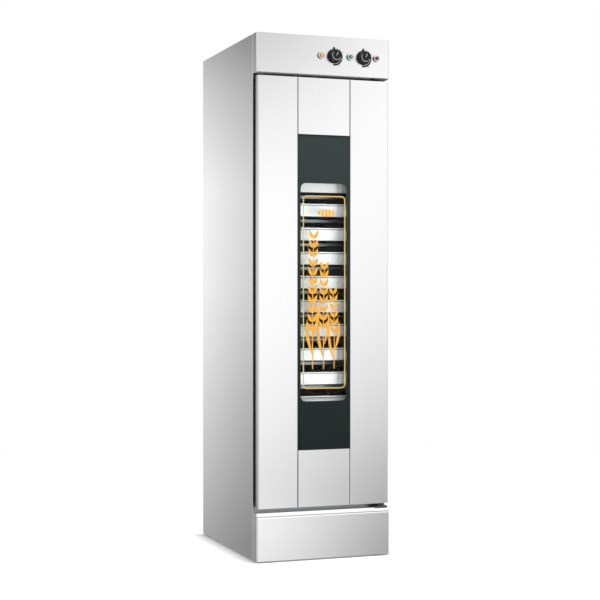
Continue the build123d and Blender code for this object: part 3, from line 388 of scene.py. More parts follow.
def lens_finish(name, tone, centre, radius, glow):
    """Tinted lens, brightest over the lamp behind its middle."""
    made, tree, shader = material(name)
    shader.inputs["Coat Weight"].default_value = 0.6
    shader.inputs["Coat Roughness"].default_value = 0.05
    shader.inputs["Emission Strength"].default_value = glow
    away = put(tree, "ShaderNodeVectorMath", {0: spot_on(tree), 1: centre}, operation="DISTANCE")
    near = ramp(tree, away.outputs["Value"], radius * 0.1, radius * 0.75, 1.0, 0.0)
    ribs = rolled_grain(tree, (700.0, 700.0, 30.0))
    # Painted light: the base colour is lighter over the middle, where the lamp behind shines.
    colour = blend_colours(tree, near, shaded(tone, 0.6), shaded(tone, 1.5))
    lit = blend_colours(tree, near, shaded(tone, 0.1), shaded(tone, 3.0))
    tree.links.new(lit, shader.inputs["Emission Color"])
    connect(tree, shader, colour, ramp(tree, ribs, 0.0, 1.0, 0.12, 0.24), ribs, 0.00006)
    return made


def dress(made, nodes):
    """Gives CAD nodes their finish."""
    for name in nodes:
        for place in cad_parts[name].material_slots:
            place.material = made


# ---------- flat printing and screws

def ribbon(mesh, left, right, y, thickness, closed=False):
    """Adds a thin strip between two lines of (x, z) points, its back on the plane y."""
    rows = []
    for (ax, az), (bx, bz) in zip(left, right):
        corners = ((ax, y - thickness, az), (bx, y - thickness, bz), (bx, y, bz), (ax, y, az))
        rows.append([mesh.verts.new(corner) for corner in corners])
    following = rows[1:] + rows[:1] if closed else rows[1:]
    for near, far in zip(rows, following):
        for i in range(4):
            mesh.faces.new((near[i], near[i - 1], far[i - 1], far[i]))
    if not closed:
        mesh.faces.new(rows[0])
        mesh.faces.new(rows[-1][::-1])


def stroke(mesh, points, widths, y, thickness):
    """Adds a printed line of changing width along (x, z) points."""
    left, right = [], []
    for i, (x, z) in enumerate(points):
        ahead = points[min(i + 1, len(points) - 1)]
        behind = points[max(i - 1, 0)]
        run = Vector((ahead[0] - behind[0], ahead[1] - behind[1])).normalized()
        half = widths[i] / 2
        left.append((x - run.y * half, z + run.x * half))
        right.append((x + run.y * half, z - run.x * half))
    ribbon(mesh, left, right, y, thickness)


def clock_point(middle, radius, clock):
    """The (x, z) point at an angle in clock degrees: 0 is up, 90 is to the right."""
    turn = math.radians(clock)
    return (middle[0] + radius * math.sin(turn), middle[1] + radius * math.cos(turn))


def arc(middle, radius, start, end, count):
    """Points on an arc between two clock angles."""
    return [clock_point(middle, radius, start + (end - start) * i / (count - 1)) for i in range(count)]


def rounded_frame(middle, half_width, half_height, corner, per_corner=10):
    """Points round a rectangle with rounded corners, clockwise from its top right."""
    points = []
    for turn, (sx, sz) in zip((0, 90, 180, 270), ((1, 1), (1, -1), (-1, -1), (-1, 1))):
        hub = (middle[0] + sx * (half_width - corner), middle[1] + sz * (half_height - corner))
        points += arc(hub, corner, turn, turn + 90, per_corner)
    return points


def screw_head(mesh, place, outward, radius):
    """Adds a domed cross-head screw that stands on a surface."""
    rings, around = 6, 24
    dome_height, cross_depth, cross_reach = 0.55, 0.28, 0.65  # shares of the radius
    turn = Vector(outward).to_track_quat("Z", "Y")
    rows = []
    for ring in range(rings + 1):
        share = 1 - ring / (rings + 1)
        row = []
        for step in range(around):
            angle = 2 * math.pi * (step + 0.5) / around
            in_cross = 1 <= ring and share < cross_reach and step % 6 in (5, 0)
            dome = dome_height * math.sqrt(1 - share * share * 0.98) - (cross_depth if in_cross else 0.0)
            height = radius * dome if ring else 0.0
            spot = Vector((share * radius * math.cos(angle), share * radius * math.sin(angle), height))
            row.append(mesh.verts.new(Vector(place) + turn @ spot))
        rows.append(row)
    for near, far in zip(rows, rows[1:]):
        for i in range(around):
            mesh.faces.new((near[i - 1], near[i], far[i], far[i - 1]))
    mesh.faces.new(rows[-1])
    mesh.faces.new(rows[0][::-1])


def add_object(name, data):
    """A new object of the scene."""
    made_object = bpy.data.objects.new(name, data)
    bpy.context.scene.collection.objects.link(made_object)
    return made_object


def add_mesh(name, mesh, made):
    """Turns a bmesh and its material into an object of the scene."""
    data = bpy.data.meshes.new(name)
    mesh.to_mesh(data)
    mesh.free()
    data.materials.append(made)
    return add_object(name, data)


def piece(name, mesh, made, body, smooth=False):
    """Turns a bmesh into a named piece that rides on a body."""
    bmesh.ops.recalc_face_normals(mesh, faces=mesh.faces)
    for face in mesh.faces:
        face.smooth = smooth
    made_object = add_mesh(name, mesh, made)
    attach(made_object, body)


def face_centre(node):
    """(x, z) of the middle of a node, and the y of its front."""
    low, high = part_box(node)
    return ((low.x + high.x) / 2, (low.z + high.z) / 2), low.y


# ---------- settings

def colour_setting(name, description, default):
    """A colour setting."""
    return FloatVectorProperty(name=name, description=description, subtype="COLOR", size=3, min=0, max=1,
                               default=default)


def length_setting(name, description, low, high, default, precision=4):
    """A length setting in metres."""
    return FloatProperty(name=name, description=description, subtype="DISTANCE", unit="LENGTH", min=low,
                         max=high, default=default, precision=precision)


def share_setting(name, description, low, high, default):
    """A setting between low and high, both from 0 to 1."""
    return FloatProperty(name=name, description=description, subtype="FACTOR", min=low, max=high,
                         default=default)


def power_setting(name, description, default):
    """A lamp's power in watts."""
    return FloatProperty(name=name, description=description, unit="POWER", min=0, max=2000, default=default)


class ProoferSteel(bpy.types.PropertyGroup):
    """Stainless sheet, outside and in the chamber."""
    outer: colour_setting("Outer Sheet", "Colour of the cabinet and door sheet", (0.85, 0.85, 0.852))
    # Chamber Sheet is a dark tone that paints the shade inside the closed cabinet onto its stainless.
    inner: colour_setting("Chamber Sheet", "Colour of the chamber's lining and racks", (0.15, 0.157, 0.16))
    # Rail Steel: its darker copies on the mouth and hinges are painted shade.
    rails: colour_setting("Rail Steel", "Colour of the rails and pan, darker on the mouth and hinges",
                          (0.42, 0.43, 0.44))
    # Kick Panel is a lighter copy of the outer sheet: painted light on the base.
    base: colour_setting("Kick Panel", "Colour of the sheet under the door", (0.98, 0.98, 0.98))
    roughness: share_setting("Roughness", "Roughness of the outer sheet", 0.1, 0.8, 0.24)
    grain: FloatProperty(name="Grain Lines", description="Scratches per metre across the grain", min=100,
                         max=4000, default=1100)
    wave: length_setting("Waviness", "Depth of the slow waves in the sheet", 0, 0.002, 0.0003, 5)


class ProoferTrays(bpy.types.PropertyGroup):
    """Tray metal."""
    tone: colour_setting("Aluminium", "Colour of the trays", (0.97, 0.975, 0.975))
    # Painted shade: the dark tone behind the trays' front walls stands in for the shade in the chamber.
    shade_inside: colour_setting("Shade Inside", "Colour of the trays behind their front walls",
                          (0.075, 0.077, 0.079))
    roughness: share_setting("Roughness", "Roughness of the trays", 0.1, 0.8, 0.2)


class ProoferWindow(bpy.types.PropertyGroup):
    """Glass, its dark frame and the printing on it."""
    glass: colour_setting("Glass", "Tint of the panes", (0.97, 0.985, 0.98))
    # The darker foot colour of the frame is painted shade.
    mask_top: colour_setting("Frame, Top", "Colour of the dark frame at its top", (0.073, 0.099, 0.092))
    mask_foot: colour_setting("Frame, Foot", "Colour of the dark frame at its foot", (0.031, 0.046, 0.045))
    spacer: colour_setting("Spacer", "Colour of the spacer between the panes", (0.95, 0.95, 0.94))
    gold: colour_setting("Gold Ink", "Colour of the printed border", (0.62, 0.44, 0.14))
    orange: colour_setting("Orange Ink", "Colour of the printed wheat", (0.78, 0.37, 0.03))
    border_width: length_setting("Border Line", "Width of the printed border", 0.001, 0.01, 0.0042)
    border_half_width: length_setting("Border Half Width", "Half the border's width", 0.05, 0.086, 0.0815)
    border_half_height: length_setting("Border Half Height", "Half the border's height", 0.1, 0.38, 0.3465)
    pairs: IntProperty(name="Grain Pairs", description="Pairs of grains on each ear of wheat", min=3, max=20,
                       default=11)


class ProoferControls(bpy.types.PropertyGroup):
    """Knobs, their marks and the pilot lamps."""
    knob: colour_setting("Knob", "Colour of the knobs", (0.008, 0.009, 0.009))
    mark: colour_setting("Knob Marks", "Colour of the pointer and arc", (0.6, 0.62, 0.61))
    scale: colour_setting("Panel Scale", "Colour of the printed scales", (0.015, 0.015, 0.016))
    amber: colour_setting("Amber Lens", "Colour of the amber lens", (0.75, 0.31, 0.02))
    green: colour_setting("Green Lens", "Colour of the green lens", (0.025, 0.26, 0.16))
    red: colour_setting("Red Lens", "Colour of the red lens", (0.22, 0.005, 0.022))
    arc_radius: length_setting("Arc Radius", "Radius of the arc on a knob's face", 0.01, 0.018, 0.0162)
    pointer: length_setting("Pointer Length", "Length of the pointer on a knob's face", 0.005, 0.018, 0.013)
    scale_radius: length_setting("Scale Radius", "Radius of the scales on the panel", 0.028, 0.05, 0.031)
    glow: FloatProperty(name="Lamp Glow", description="Strength of the lamps' own light", min=0, max=4,
                        default=0.22)


class ProoferStage(bpy.types.PropertyGroup):
    """Floor, light and camera."""
    floor: colour_setting("Floor", "Colour of the floor", (0.82, 0.82, 0.82))
    key: power_setting("Key Light", "Power of the large soft light", 110)
    fill: power_setting("Fill Light", "Power of the second soft light", 45)
    sky: FloatProperty(name="Room Light", description="Strength of the light from all round", min=0, max=2,
                       default=0.62)
    lens: FloatProperty(name="Lens", description="Focal length of the camera", unit="CAMERA", min=20, max=200,
                        default=87.06)


# ---------- operators: finishes of the CAD nodes

class PROOFER_OT_outer_steel(bpy.types.Operator):
    """Brushed stainless on the cabinet, header, base and door"""
    bl_idname = "proofer.outer_steel"
    bl_label = "Outer Steel"

    def execute(self, context):
        steel = context.scene.proofer_steel
        across, along = steel.grain, steel.grain / 100
        upright, level = (across, across, along), (along, across, across)
        underside, fold = FRONT_LOW + 0.0008, 0.0012
        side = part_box("door_skin_right")[1].x - fold
        for name, tone, stretch, nodes, extras in (
                ("upright_steel", steel.outer, upright, UPRIGHT_SHEETS, {}),
                ("level_steel", steel.outer, level, LEVEL_SHEETS, {}),
                # door_steel: painted shade on the skins' side faces, beyond x = -side and side
                ("door_steel", steel.outer, upright, ("door_skin_left", "door_skin_right"),
                 {"edges": (-side, side)}),
                # kick_steel: the lighter Kick Panel tone is painted light
                ("kick_steel", steel.base, level, ("base_front",), {}),
                ("header_steel", steel.outer, level, ("header_fascia",), {"matt_below": underside})):
            dress(brushed_sheet(name, tone, steel.roughness, stretch, steel.wave, **extras), nodes)
        return {"FINISHED"}


class PROOFER_OT_chamber_steel(bpy.types.Operator):
    """Satin stainless in the chamber and its mouth, on the door's back, the hinges and the shafts"""
    bl_idname = "proofer.chamber_steel"
    bl_label = "Chamber Steel"

    def execute(self, context):
        steel = context.scene.proofer_steel
        across, along = steel.grain, steel.grain / 60
        sideways, inward = (along, across, across), (across, along, across)
        slow = steel.wave / 2
        mouth_edges = (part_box("face_frame")[0].x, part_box("door_gasket")[1].x + EDGE_BLUR)
        for name, tone, rougher, stretch, wave, nodes, extras in (
                # chamber_steel: its dark tone is painted shade
                ("chamber_steel", steel.inner, 0.08, inward, slow, CHAMBER_SHEETS, {}),
                ("rail_steel", steel.rails, 0.04, sideways, slow, ("rack_rails",), {}),
                ("liner_steel", steel.outer, 0.04, sideways, slow, ("door_liner",), {}),
                # mouth_steel: the rail tone at 0.65 is painted shade in the gap round the door, and its strip
                # beyond the gasket, 2.2 times lighter, is painted light
                ("mouth_steel", shaded(steel.rails, 0.65), 0.04, sideways, slow, ("face_frame",),
                 {"edges": mouth_edges, "edge_tone": 2.2}),
                ("shaft_steel", steel.outer, -0.05, inward, 0.0, ("temperature_shaft", "humidity_shaft"), {}),
                # hinge_steel: the rail tone at 0.4 is painted shade on the hinge plates
                ("hinge_steel", shaded(steel.rails, 0.4), 0.26, inward, 0.0, ("hinge_plates",), {})):
            dress(brushed_sheet(name, tone, steel.roughness + rougher, stretch, wave, **extras), nodes)
        return {"FINISHED"}


class PROOFER_OT_trays(bpy.types.Operator):
    """Used aluminium on the sixteen trays"""
    bl_idname = "proofer.trays"
    bl_label = "Trays"

    def execute(self, context):
        trays = context.scene.proofer_trays
        dress(pressed_aluminium("tray_aluminium", trays.tone, trays.shade_inside, trays.roughness), TRAYS)
        return {"FINISHED"}


class PROOFER_OT_steam(bpy.types.Operator):
    """Heat-tinted elements, the water pan and the guard over them"""
    bl_idname = "proofer.steam"
    bl_label = "Heat and Steam"

    def execute(self, context):
        steel = context.scene.proofer_steel
        dress(heated_tube("heater_sheath", steel.rails), ("heaters",))
        dress(brushed_sheet("pan_steel", steel.rails, steel.roughness + 0.05, (300.0, 60.0, 300.0),
                            steel.wave, smudge=0.16), ("water_pan", "heater_cover"))
        return {"FINISHED"}


class PROOFER_OT_window(bpy.types.Operator):
    """Both panes and the dark frame between them"""
    bl_idname = "proofer.window"
    bl_label = "Window"

    def execute(self, context):
        window = context.scene.proofer_window
        panes = ("door_outer_glass", "door_inner_glass")
        dress(pane("window_glass", window.glass, roughness=0.0), panes)
        for name in panes:
            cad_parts[name].visible_shadow = False
        dress(mask_finish("window_mask", window.mask_foot, window.mask_top, window.spacer, GLASS_LOW,
                          GLASS_HIGH), ("door_window_frame",))
        return {"FINISHED"}


class PROOFER_OT_seals(bpy.types.Operator):
    """Rubber and nylon: seal, feet, bushes, washers and cable gland"""
    bl_idname = "proofer.seals"
    bl_label = "Seals and Nylon"

    def execute(self, context):
        flour = (0.3, 0.29, 0.27)
        for name, tone, roughness, depth, dust, per_metre, nodes in (
                ("seal_rubber", (0.085, 0.087, 0.089), 0.62, 0.00005, 0.12, 1800.0, ("door_gasket",)),
                ("foot_rubber", (0.035, 0.035, 0.036), 0.7, 0.00012, 0.35, 900.0, ("feet",)),
                ("black_nylon", (0.018, 0.018, 0.019), 0.42, 0.00003, 0.05, 1800.0,
                 ("pivot_bushes", "hinge_washers", "cable_gland"))):
            dress(moulded(name, tone, roughness, depth, flour, dust, per_metre), nodes)
        return {"FINISHED"}


class PROOFER_OT_head_shade(bpy.types.Operator):
    """Black strip on the face frame in the gap over the door, painted shade for the gap's dark depth"""
    bl_idname = "proofer.head_tape"
    bl_label = "Head Tape"

    def execute(self, context):
        low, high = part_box("face_frame")
        margin, clear, thickness = 0.0003, 0.001, 0.0003
        top, foot = high.z - margin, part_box("door_gasket")[1].z + clear
        ends = (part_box("door_skin_left")[0].x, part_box("hinge_plates")[0].x - clear)
        # Painted shade: a black strip where the gap over the door lies in deep shade.
        mesh = bmesh.new()
        ribbon(mesh, [(x, top) for x in ends], [(x, foot) for x in ends], low.y, thickness)
        head_shade_finish = moulded("tape_foam", (0.012, 0.012, 0.013), 0.8, 0.0001, (0.2, 0.2, 0.2), dust=0.05,
                       per_metre=900.0, gloss=0.1)
        piece("head_tape", mesh, head_shade_finish, "cabinet")
        return {"FINISHED"}


class PROOFER_OT_hidden(bpy.types.Operator):
    """Pieces behind the sheets: foam, controls and terminals"""
    bl_idname = "proofer.hidden"
    bl_label = "Hidden Pieces"

    def execute(self, context):
        dress(foam("insulation_foam", (0.82, 0.74, 0.52)), ("insulation",))
        dress(foam("door_foam", (0.2, 0.2, 0.2)), ("door_core",))
        dress(moulded("control_body", (0.6, 0.58, 0.52), 0.5, 0.00004, (0.3, 0.28, 0.25)),
              ("thermostats", "terminal_block"))
        return {"FINISHED"}


# ---------- operators: controls

class PROOFER_OT_knobs(bpy.types.Operator):
    """Black knobs, with an arc and a pointer printed on each face"""
    bl_idname = "proofer.knobs"
    bl_label = "Knobs"

    def execute(self, context):
        controls = context.scene.proofer_controls
        black = moulded("knob_plastic", controls.knob, 0.34, 0.00002, (0.12, 0.12, 0.12), dust=0.02,
                        gloss=0.22)
        white = ink("knob_ink", controls.mark, 0.45, 0.06)
        count, ink_depth = 40, 0.00004
        arc_start, arc_end, pointer_angle = 112, 307, 25
        for control, body in DIALS.items():
            node = f"{control}_knob"
            dress(black, (node,))
            middle, front = face_centre(node)
            mesh = bmesh.new()
            line = arc(middle, controls.arc_radius, arc_start, arc_end, count)
            widths = [0.0007 + 0.0007 * math.sin(math.pi * i / (count - 1)) for i in range(count)]
            stroke(mesh, line, widths, front, ink_depth)
            pointer = [clock_point(middle, reach, pointer_angle)
                       for reach in (-0.002, 0.0, controls.pointer * 0.6, controls.pointer)]
            stroke(mesh, pointer, (0.0008, 0.0014, 0.0018, 0.0012), front, ink_depth)
            piece(f"{control}_marks", mesh, white, body)
        return {"FINISHED"}


class PROOFER_OT_scales(bpy.types.Operator):
    """Tapered scales and short ticks printed round the knobs"""
    bl_idname = "proofer.scales"
    bl_label = "Panel Scales"

    def execute(self, context):
        controls = context.scene.proofer_controls
        black = ink("scale_ink", controls.scale, 0.4, 0.1)
        count, scale_start, scale_end = 48, 4, 188
        for control in DIALS:
            middle, _ = face_centre(f"{control}_knob")
            mesh = bmesh.new()
            line = arc(middle, controls.scale_radius, scale_start, scale_end, count)
            shares = [i / (count - 1) for i in range(count)]
            widths = [0.0008 + 0.006 * min(1.0, 1.35 * share) ** 1.8 for share in shares]
            stroke(mesh, line, widths, FRONT, INK_DEPTH)
            for clock, start, end, wide, narrow in (
                    (-2, -0.0045, 0.0035, 0.0105, 0.003), (65, 0.0035, 0.0066, 0.0024, 0.0024),
                    (149, 0.005, 0.0083, 0.003, 0.003)):
                tick = [clock_point(middle, controls.scale_radius + out, clock) for out in (start, end)]
                stroke(mesh, tick, (wide, narrow), FRONT, 2 * INK_DEPTH)
            piece(f"{control}_scale", mesh, black, "cabinet")
        return {"FINISHED"}


class PROOFER_OT_lamps(bpy.types.Operator):
    """Plated bezels and three lit lenses"""
    bl_idname = "proofer.lamps"
    bl_label = "Pilot Lamps"

    def execute(self, context):
        controls = context.scene.proofer_controls
        bezel_depth = 0.0017
        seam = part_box("lamp_housings")[0].y + bezel_depth
        dress(lamp_body("lamp_body", (0.8, 0.8, 0.81), controls.knob, seam), ("lamp_housings",))
        for lamp in LAMPS:
            low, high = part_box(f"lamp_{lamp}")
            centre = ((low.x + high.x) / 2, low.y, (low.z + high.z) / 2)
            tone = getattr(controls, lamp)
            finish = lens_finish(f"{lamp}_lens", tone, centre, (high.x - low.x) / 2, controls.glow)
            dress(finish, (f"lamp_{lamp}",))
        return {"FINISHED"}


# ---------- operators: window printing

class PROOFER_OT_border(bpy.types.Operator):
    """Gold border printed on the glass"""
    bl_idname = "proofer.border"
    bl_label = "Window Border"

    def execute(self, context):
        window = context.scene.proofer_window
        middle, front = face_centre("door_outer_glass")
        width, height, line = window.border_half_width, window.border_half_height, window.border_width
        corner = 0.015
        mesh = bmesh.new()
        outer = rounded_frame(middle, width, height, corner)
        inner = rounded_frame(middle, width - line, height - line, corner - line)
        ribbon(mesh, outer, inner, front, INK_DEPTH, closed=True)
        piece("window_border", mesh, ink("gold_ink", window.gold, 0.35, 0.15), "door")
        return {"FINISHED"}


class PROOFER_OT_wheat(bpy.types.Operator):
    """Three ears of wheat and a sliced loaf printed on the glass"""
    bl_idname = "proofer.wheat"
    bl_label = "Window Wheat"

    def execute(self, context):
        window = context.scene.proofer_window
        orange = ink("orange_ink", window.orange, 0.4, 0.12)
        middle = (GLASS_LOW.z + GLASS_HIGH.z) / 2
        foot, over_ears = middle - 0.275, middle + 0.285
        mesh = bmesh.new()
        for x, tall, lean, fewer, size in ((-0.044, 0.48, 0.012, 0, 1.3), (-0.002, 0.37, 0.008, 3, 1.2),
                                           (0.038, 0.28, -0.01, 5, 1.1)):
            self.ear(mesh, x, foot, tall, lean, window.pairs - fewer, size)
        piece("window_wheat", mesh, orange, "door")
        mesh = bmesh.new()
        self.loaf(mesh, 0.008, over_ears, half_width=0.034, half_height=0.0135, slices=5)
        piece("window_loaf", mesh, orange, "door")
        return {"FINISHED"}

    def loaf(self, mesh, x, z, half_width, half_height, slices):
        """An oval loaf, cut across into slices."""
        pitch = 2 * half_width / slices
        for number in range(slices):
            places = [pitch * (number + 0.06 + 0.8 * i / 6) - half_width for i in range(7)]
            heights = [2 * half_height * math.sqrt(1 - abs(place / half_width) ** 2.4) for place in places]
            stroke(mesh, [(x + place, z) for place in places], heights, GLASS_LOW.y, INK_DEPTH)

    def ear(self, mesh, x, foot, tall, lean, pairs, size):
        """One stalk that bends over by lean, with leaves, paired grains and awns."""
        def along(share):
            return (x + lean * (share ** 2 - share * 0.6), foot + tall * share)

        def straight(start, aim, step, count):
            return [(start[0] + aim[0] * step * i, start[1] + aim[1] * step * i) for i in range(count)]

        y, ink_depth, spread = GLASS_LOW.y, 0.0001, math.radians(24)
        stem = [along(i / 30) for i in range(31)]
        stroke(mesh, stem, [0.003 * size] * 31, y, ink_depth)
        grain, spacing = 0.026 * size, 0.0255 * size
        for number in range(pairs):
            share = 1 - number * spacing / tall
            base = along(share - 0.4 * spacing / tall)
            for side in (-1, 1):
                aim = (side * math.sin(spread), math.cos(spread))
                body = straight((base[0] + side * 0.003 * size, base[1]), aim, grain / 8, 9)
                widths = [size * (0.0004 + 0.0092 * math.sin(math.pi * (i / 8) ** 0.8)) for i in range(9)]
                stroke(mesh, body, widths, y, 2 * ink_depth)
                stroke(mesh, straight(body[-1], aim, 0.004, 4), [0.0009, 0.0008, 0.0006, 0.0004], y,
                       3 * ink_depth)
        for share, side in ((0.1, -1), (0.22, 1)):
            root = along(share)
            leaf = [(root[0] + side * 0.017 * size * math.sin(t / 12 * 2.0), root[1] + 0.1 * size * t / 12)
                    for t in range(13)]
            widths = [size * (0.0008 + 0.0085 * math.sin(math.pi * t / 12)) for t in range(13)]
            stroke(mesh, leaf, widths, y, 4 * ink_depth)


# ---------- operators: fasteners

class PROOFER_OT_screws(bpy.types.Operator):
    """Cross-head screws down both edges of the rear panel"""
    bl_idname = "proofer.screws"
    bl_label = "Rear Screws"

    def execute(self, context):
        low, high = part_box("side_panel_left")
        inset, margin, rows, radius = 0.0095, 0.05, 7, 0.004
        mesh = bmesh.new()
        for side in (-1, 1):
            for row in range(rows):
                z = low.z + margin + (high.z - low.z - 2 * margin) * row / (rows - 1)
                screw_head(mesh, (side * (abs(low.x) - inset), high.y, z), (0, 1, 0), radius)
        screws = plated("screw_plating", (0.72, 0.72, 0.73), 0.22)
        piece("rear_screws", mesh, screws, "cabinet", smooth=True)
        return {"FINISHED"}


# ---------- operator: stage

def soft_light(name, power, size, place, aim):
    """A large square lamp that points at aim."""
    data = bpy.data.lights.new(name, "AREA")
    data.energy = power
    data.size = size
    lamp = add_object(name, data)
    lamp.location = place
    lamp.rotation_euler = (Vector(aim) - Vector(place)).to_track_quat("-Z", "Y").to_euler()
    lamp.visible_glossy = False


def tone_ramp(tree, value, stops):
    """Output that passes through (place, level) stops while value goes from 0 to 1."""
    node = put(tree, "ShaderNodeValToRGB", {"Fac": value})
    marks = node.color_ramp.elements
    while len(marks) < len(stops):
        marks.new(0.5)
    for mark, (place, level) in zip(marks, stops):
        mark.position = place
        mark.color = (level, level, level, 1)
    return node.outputs["Color"]


def reflector(name, low, high, near_stops, far_stops, turn_over, strength):
    """An upright card, from corner low to corner high, that only reflections see. Its tone runs up
    through near_stops at low x and through far_stops at high x, and changes over between the two x of
    turn_over."""
    made, tree, _ = material(f"{name}_paper")
    place = place_on(tree)
    up = ramp(tree, place["Z"], low[2], high[2])
    across = ramp(tree, place["X"], *turn_over)
    tone = blend_colours(tree, across, tone_ramp(tree, up, near_stops), tone_ramp(tree, up, far_stops))
    glow = put(tree, "ShaderNodeEmission", {"Color": tone, "Strength": strength})
    tree.links.new(glow.outputs[0], tree.nodes["Material Output"].inputs["Surface"])
    mesh = bmesh.new()
    corners = (low, (high[0], low[1], low[2]), high, (low[0], low[1], high[2]))
    mesh.faces.new([mesh.verts.new(corner) for corner in corners])
    card = add_mesh(name, mesh, made)
    for seen_by in ("camera", "diffuse", "transmission", "shadow"):
        setattr(card, f"visible_{seen_by}", False)


def seen_directly(tree):
    """1 for what the camera, a reflection or a view through glass shows of the background."""
    path = put(tree, "ShaderNodeLightPath").outputs
    first = maths(tree, "MAXIMUM", path["Is Camera Ray"], path["Is Glossy Ray"])
    return maths(tree, "MAXIMUM", first, path["Is Transmission Ray"])


class PROOFER_OT_stage(bpy.types.Operator):
    """White floor, soft lamps, room light and camera"""
    bl_idname = "proofer.stage"
    bl_label = "Stage"

    def execute(self, context):
        stage = context.scene.proofer_stage
        self.floor(stage)
        self.room(stage)
        soft_light("key_light", stage.key, 2.6, (1.9, -2.6, 3.6), (0, 0, 0.8))
        soft_light("fill_light", stage.fill, 2.4, (-3.2, -2.6, 2.2), (0, 0, 0.9))
        self.reflectors()
        self.camera(context, stage)
        context.scene.view_settings.view_transform = "Standard"
        return {"FINISHED"}

    def floor(self, stage):
        """A round floor that fades into the background at its rim."""
        reach = 4.0
        made, tree, shader = material("floor_paper")
        spot = spot_on(tree)
        fibres = put(tree, "ShaderNodeTexNoise", {"Vector": spot, "Scale": 300.0}).outputs["Fac"]
        colour = blend_colours(tree, fibres, shaded(stage.floor, 0.985), shaded(stage.floor, 1.0))
        tree.links.new(colour, shader.inputs["Base Color"])
        shader.inputs["Roughness"].default_value = 0.9
        # Painted shadow: the white lift is held back under and beside the object.
        seen = maths(tree, "MULTIPLY", seen_directly(tree), self.beyond_painted_shadow(tree))
        white = put(tree, "ShaderNodeEmission", {"Color": (1, 1, 1, 1), "Strength": sums(tree, (seen, 0.5))})
        bright = put(tree, "ShaderNodeAddShader", {0: shader.outputs[0], 1: white.outputs[0]})
        clear = put(tree, "ShaderNodeBsdfTransparent")
        away = put(tree, "ShaderNodeVectorMath", {0: spot}, operation="LENGTH").outputs["Value"]
        fade = put(tree, "ShaderNodeMixShader", {0: ramp(tree, away, reach * 0.45, reach * 0.95),
                                                 1: bright.outputs[0], 2: clear.outputs[0]})
        tree.links.new(fade.outputs[0], tree.nodes["Material Output"].inputs["Surface"])
        mesh = bmesh.new()
        bmesh.ops.create_circle(mesh, cap_ends=True, segments=96, radius=reach)
        ground = add_mesh("floor", mesh, made)
        ground.visible_glossy = False

    def beyond_painted_shadow(self, tree):
        """0 on the floor under the object, 1 round it, with a soft rim along its sides. Below 1 the floor
        loses its white lift, which paints a shadow there.
        """
        place = place_on(tree)
        low, high = CAD_BOX
        shadow_rim, front_rim = 0.05, 0.003
        sideways = outside(tree, place["X"], low.x - shadow_rim, high.x + shadow_rim, shadow_rim)
        ahead = outside(tree, place["Y"], FRONT, high.y, front_rim)
        return maths(tree, "MAXIMUM", sideways, ahead)

    def reflectors(self):
        """Graded cards for the sheet metal: one before the door, one behind the left side."""
        front_near = ((0.13, 0.7), (0.17, 0.93), (0.205, 0.73), (0.28, 0.87), (0.41, 0.97), (0.5, 1.0),
                      (0.63, 0.99), (0.73, 0.86), (0.78, 0.77), (0.83, 0.64), (0.86, 0.54))
        front_far = ((0.14, 0.25), (0.165, 0.37), (0.207, 0.37), (0.27, 0.53), (0.34, 0.67), (0.41, 0.77),
                     (0.48, 0.87), (0.62, 0.95), (0.76, 1.0), (0.83, 0.96), (0.86, 0.9))
        reflector("front_card", (-0.5, -1.55, -0.6), (1.5, -1.55, 2.6), front_near, front_far,
                  turn_over=(0.2, 0.8), strength=1.2)
        side_near = ((0.1, 0.13), (0.2, 0.185), (0.3, 0.24), (0.5, 0.415), (0.65, 0.45), (0.8, 0.29),
                     (0.9, 0.11))
        side_far = ((0.1, 0.4), (0.2, 0.58), (0.3, 0.74), (0.4, 0.87), (0.5, 0.98), (0.65, 1.0), (0.8, 0.67),
                    (0.9, 0.36))
        reflector("side_card", (-1.6, 1.6, -0.6), (0.4, 1.6, 2.6), side_near, side_far,
                  turn_over=(-0.98, -0.5), strength=1.32)

    def room(self, stage):
        """White where it is seen, and an even light on everything else."""
        world = bpy.data.worlds.new("room")
        bpy.context.scene.world = world
        world.use_nodes = True
        tree = world.node_tree
        ground = tree.nodes["Background"]
        ground.inputs["Color"].default_value = (1, 1, 1, 1)
        path = put(tree, "ShaderNodeLightPath").outputs
        upward = put(tree, "ShaderNodeSeparateXYZ", {0: put(tree, "ShaderNodeTexCoord").outputs["Generated"]})
        level = ramp(tree, upward.outputs["Z"], -1, 1)
        stops = ((0.0, 0.45), (0.4, 0.5), (0.5, 0.95), (0.6, 0.85), (0.8, 0.6), (1.0, 0.9))
        walls = tone_ramp(tree, level, stops)
        reflected = maths(tree, "MULTIPLY", walls, path["Is Glossy Ray"])
        seen = maths(tree, "MAXIMUM", path["Is Camera Ray"], path["Is Transmission Ray"])
        lit = maths(tree, "MAXIMUM", reflected, seen)
        rest = ramp(tree, seen_directly(tree), 0, 1, stage.sky, 0.0)
        tree.links.new(maths(tree, "ADD", lit, rest), ground.inputs["Strength"])

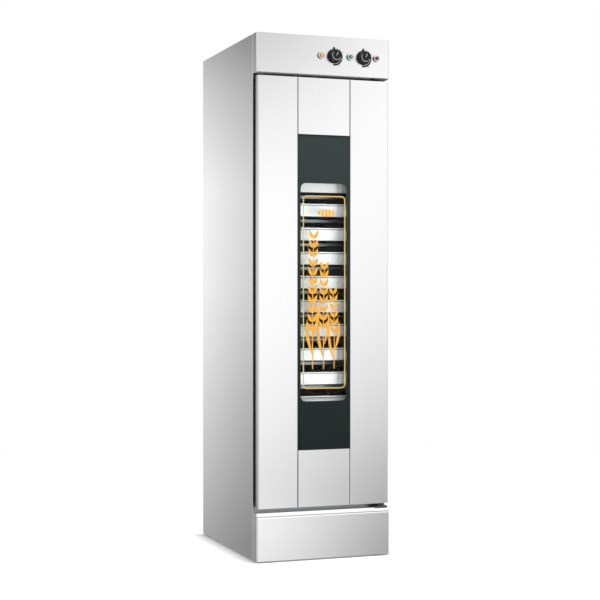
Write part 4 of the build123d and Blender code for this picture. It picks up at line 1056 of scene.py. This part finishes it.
    def camera(self, context, stage):
        """Level camera in front and a little to the left."""
        place, heading = (-1.858, -5.2055, 0.932), -19.93
        data = bpy.data.cameras.new("camera")
        data.lens = stage.lens
        data.sensor_width = 36.0
        data.shift_x = -0.0002
        eye = add_object("camera", data)
        eye.location = place
        eye.rotation_euler = (math.radians(90), 0, math.radians(heading))
        context.scene.camera = eye


# ---------- panel, registration and run

SETTINGS = {"proofer_steel": ProoferSteel, "proofer_trays": ProoferTrays, "proofer_window": ProoferWindow,
            "proofer_controls": ProoferControls, "proofer_stage": ProoferStage}
OPERATORS = (PROOFER_OT_outer_steel, PROOFER_OT_chamber_steel, PROOFER_OT_trays, PROOFER_OT_steam,
             PROOFER_OT_window, PROOFER_OT_seals, PROOFER_OT_head_shade, PROOFER_OT_hidden, PROOFER_OT_knobs,
             PROOFER_OT_scales, PROOFER_OT_lamps, PROOFER_OT_border, PROOFER_OT_wheat, PROOFER_OT_screws,
             PROOFER_OT_stage)


class PROOFER_PT_panel(bpy.types.Panel):
    """Settings and steps of the dough proofer"""
    bl_idname = "PROOFER_PT_panel"
    bl_label = "Dough Proofer"
    bl_space_type = "VIEW_3D"
    bl_region_type = "UI"
    bl_category = "Proofer"

    def draw(self, context):
        for name, group in SETTINGS.items():
            box = self.layout.box()
            box.label(text=group.__doc__)
            for setting in group.__annotations__:
                box.prop(getattr(context.scene, name), setting)
        for operator in OPERATORS:
            self.layout.operator(operator.bl_idname)


def register():
    for kind in (*SETTINGS.values(), *OPERATORS, PROOFER_PT_panel):
        bpy.utils.register_class(kind)
    for name, group in SETTINGS.items():
        setattr(bpy.types.Scene, name, PointerProperty(type=group))


def unregister():
    for name in SETTINGS:
        delattr(bpy.types.Scene, name)
    for kind in (PROOFER_PT_panel, *reversed(OPERATORS), *SETTINGS.values()):
        bpy.utils.unregister_class(kind)


def main():
    """Runs every step in order."""
    register()
    for operator in OPERATORS:
        group, step = operator.bl_idname.split(".")
        getattr(getattr(bpy.ops, group), step)()


if __name__ == "__main__":
    main()
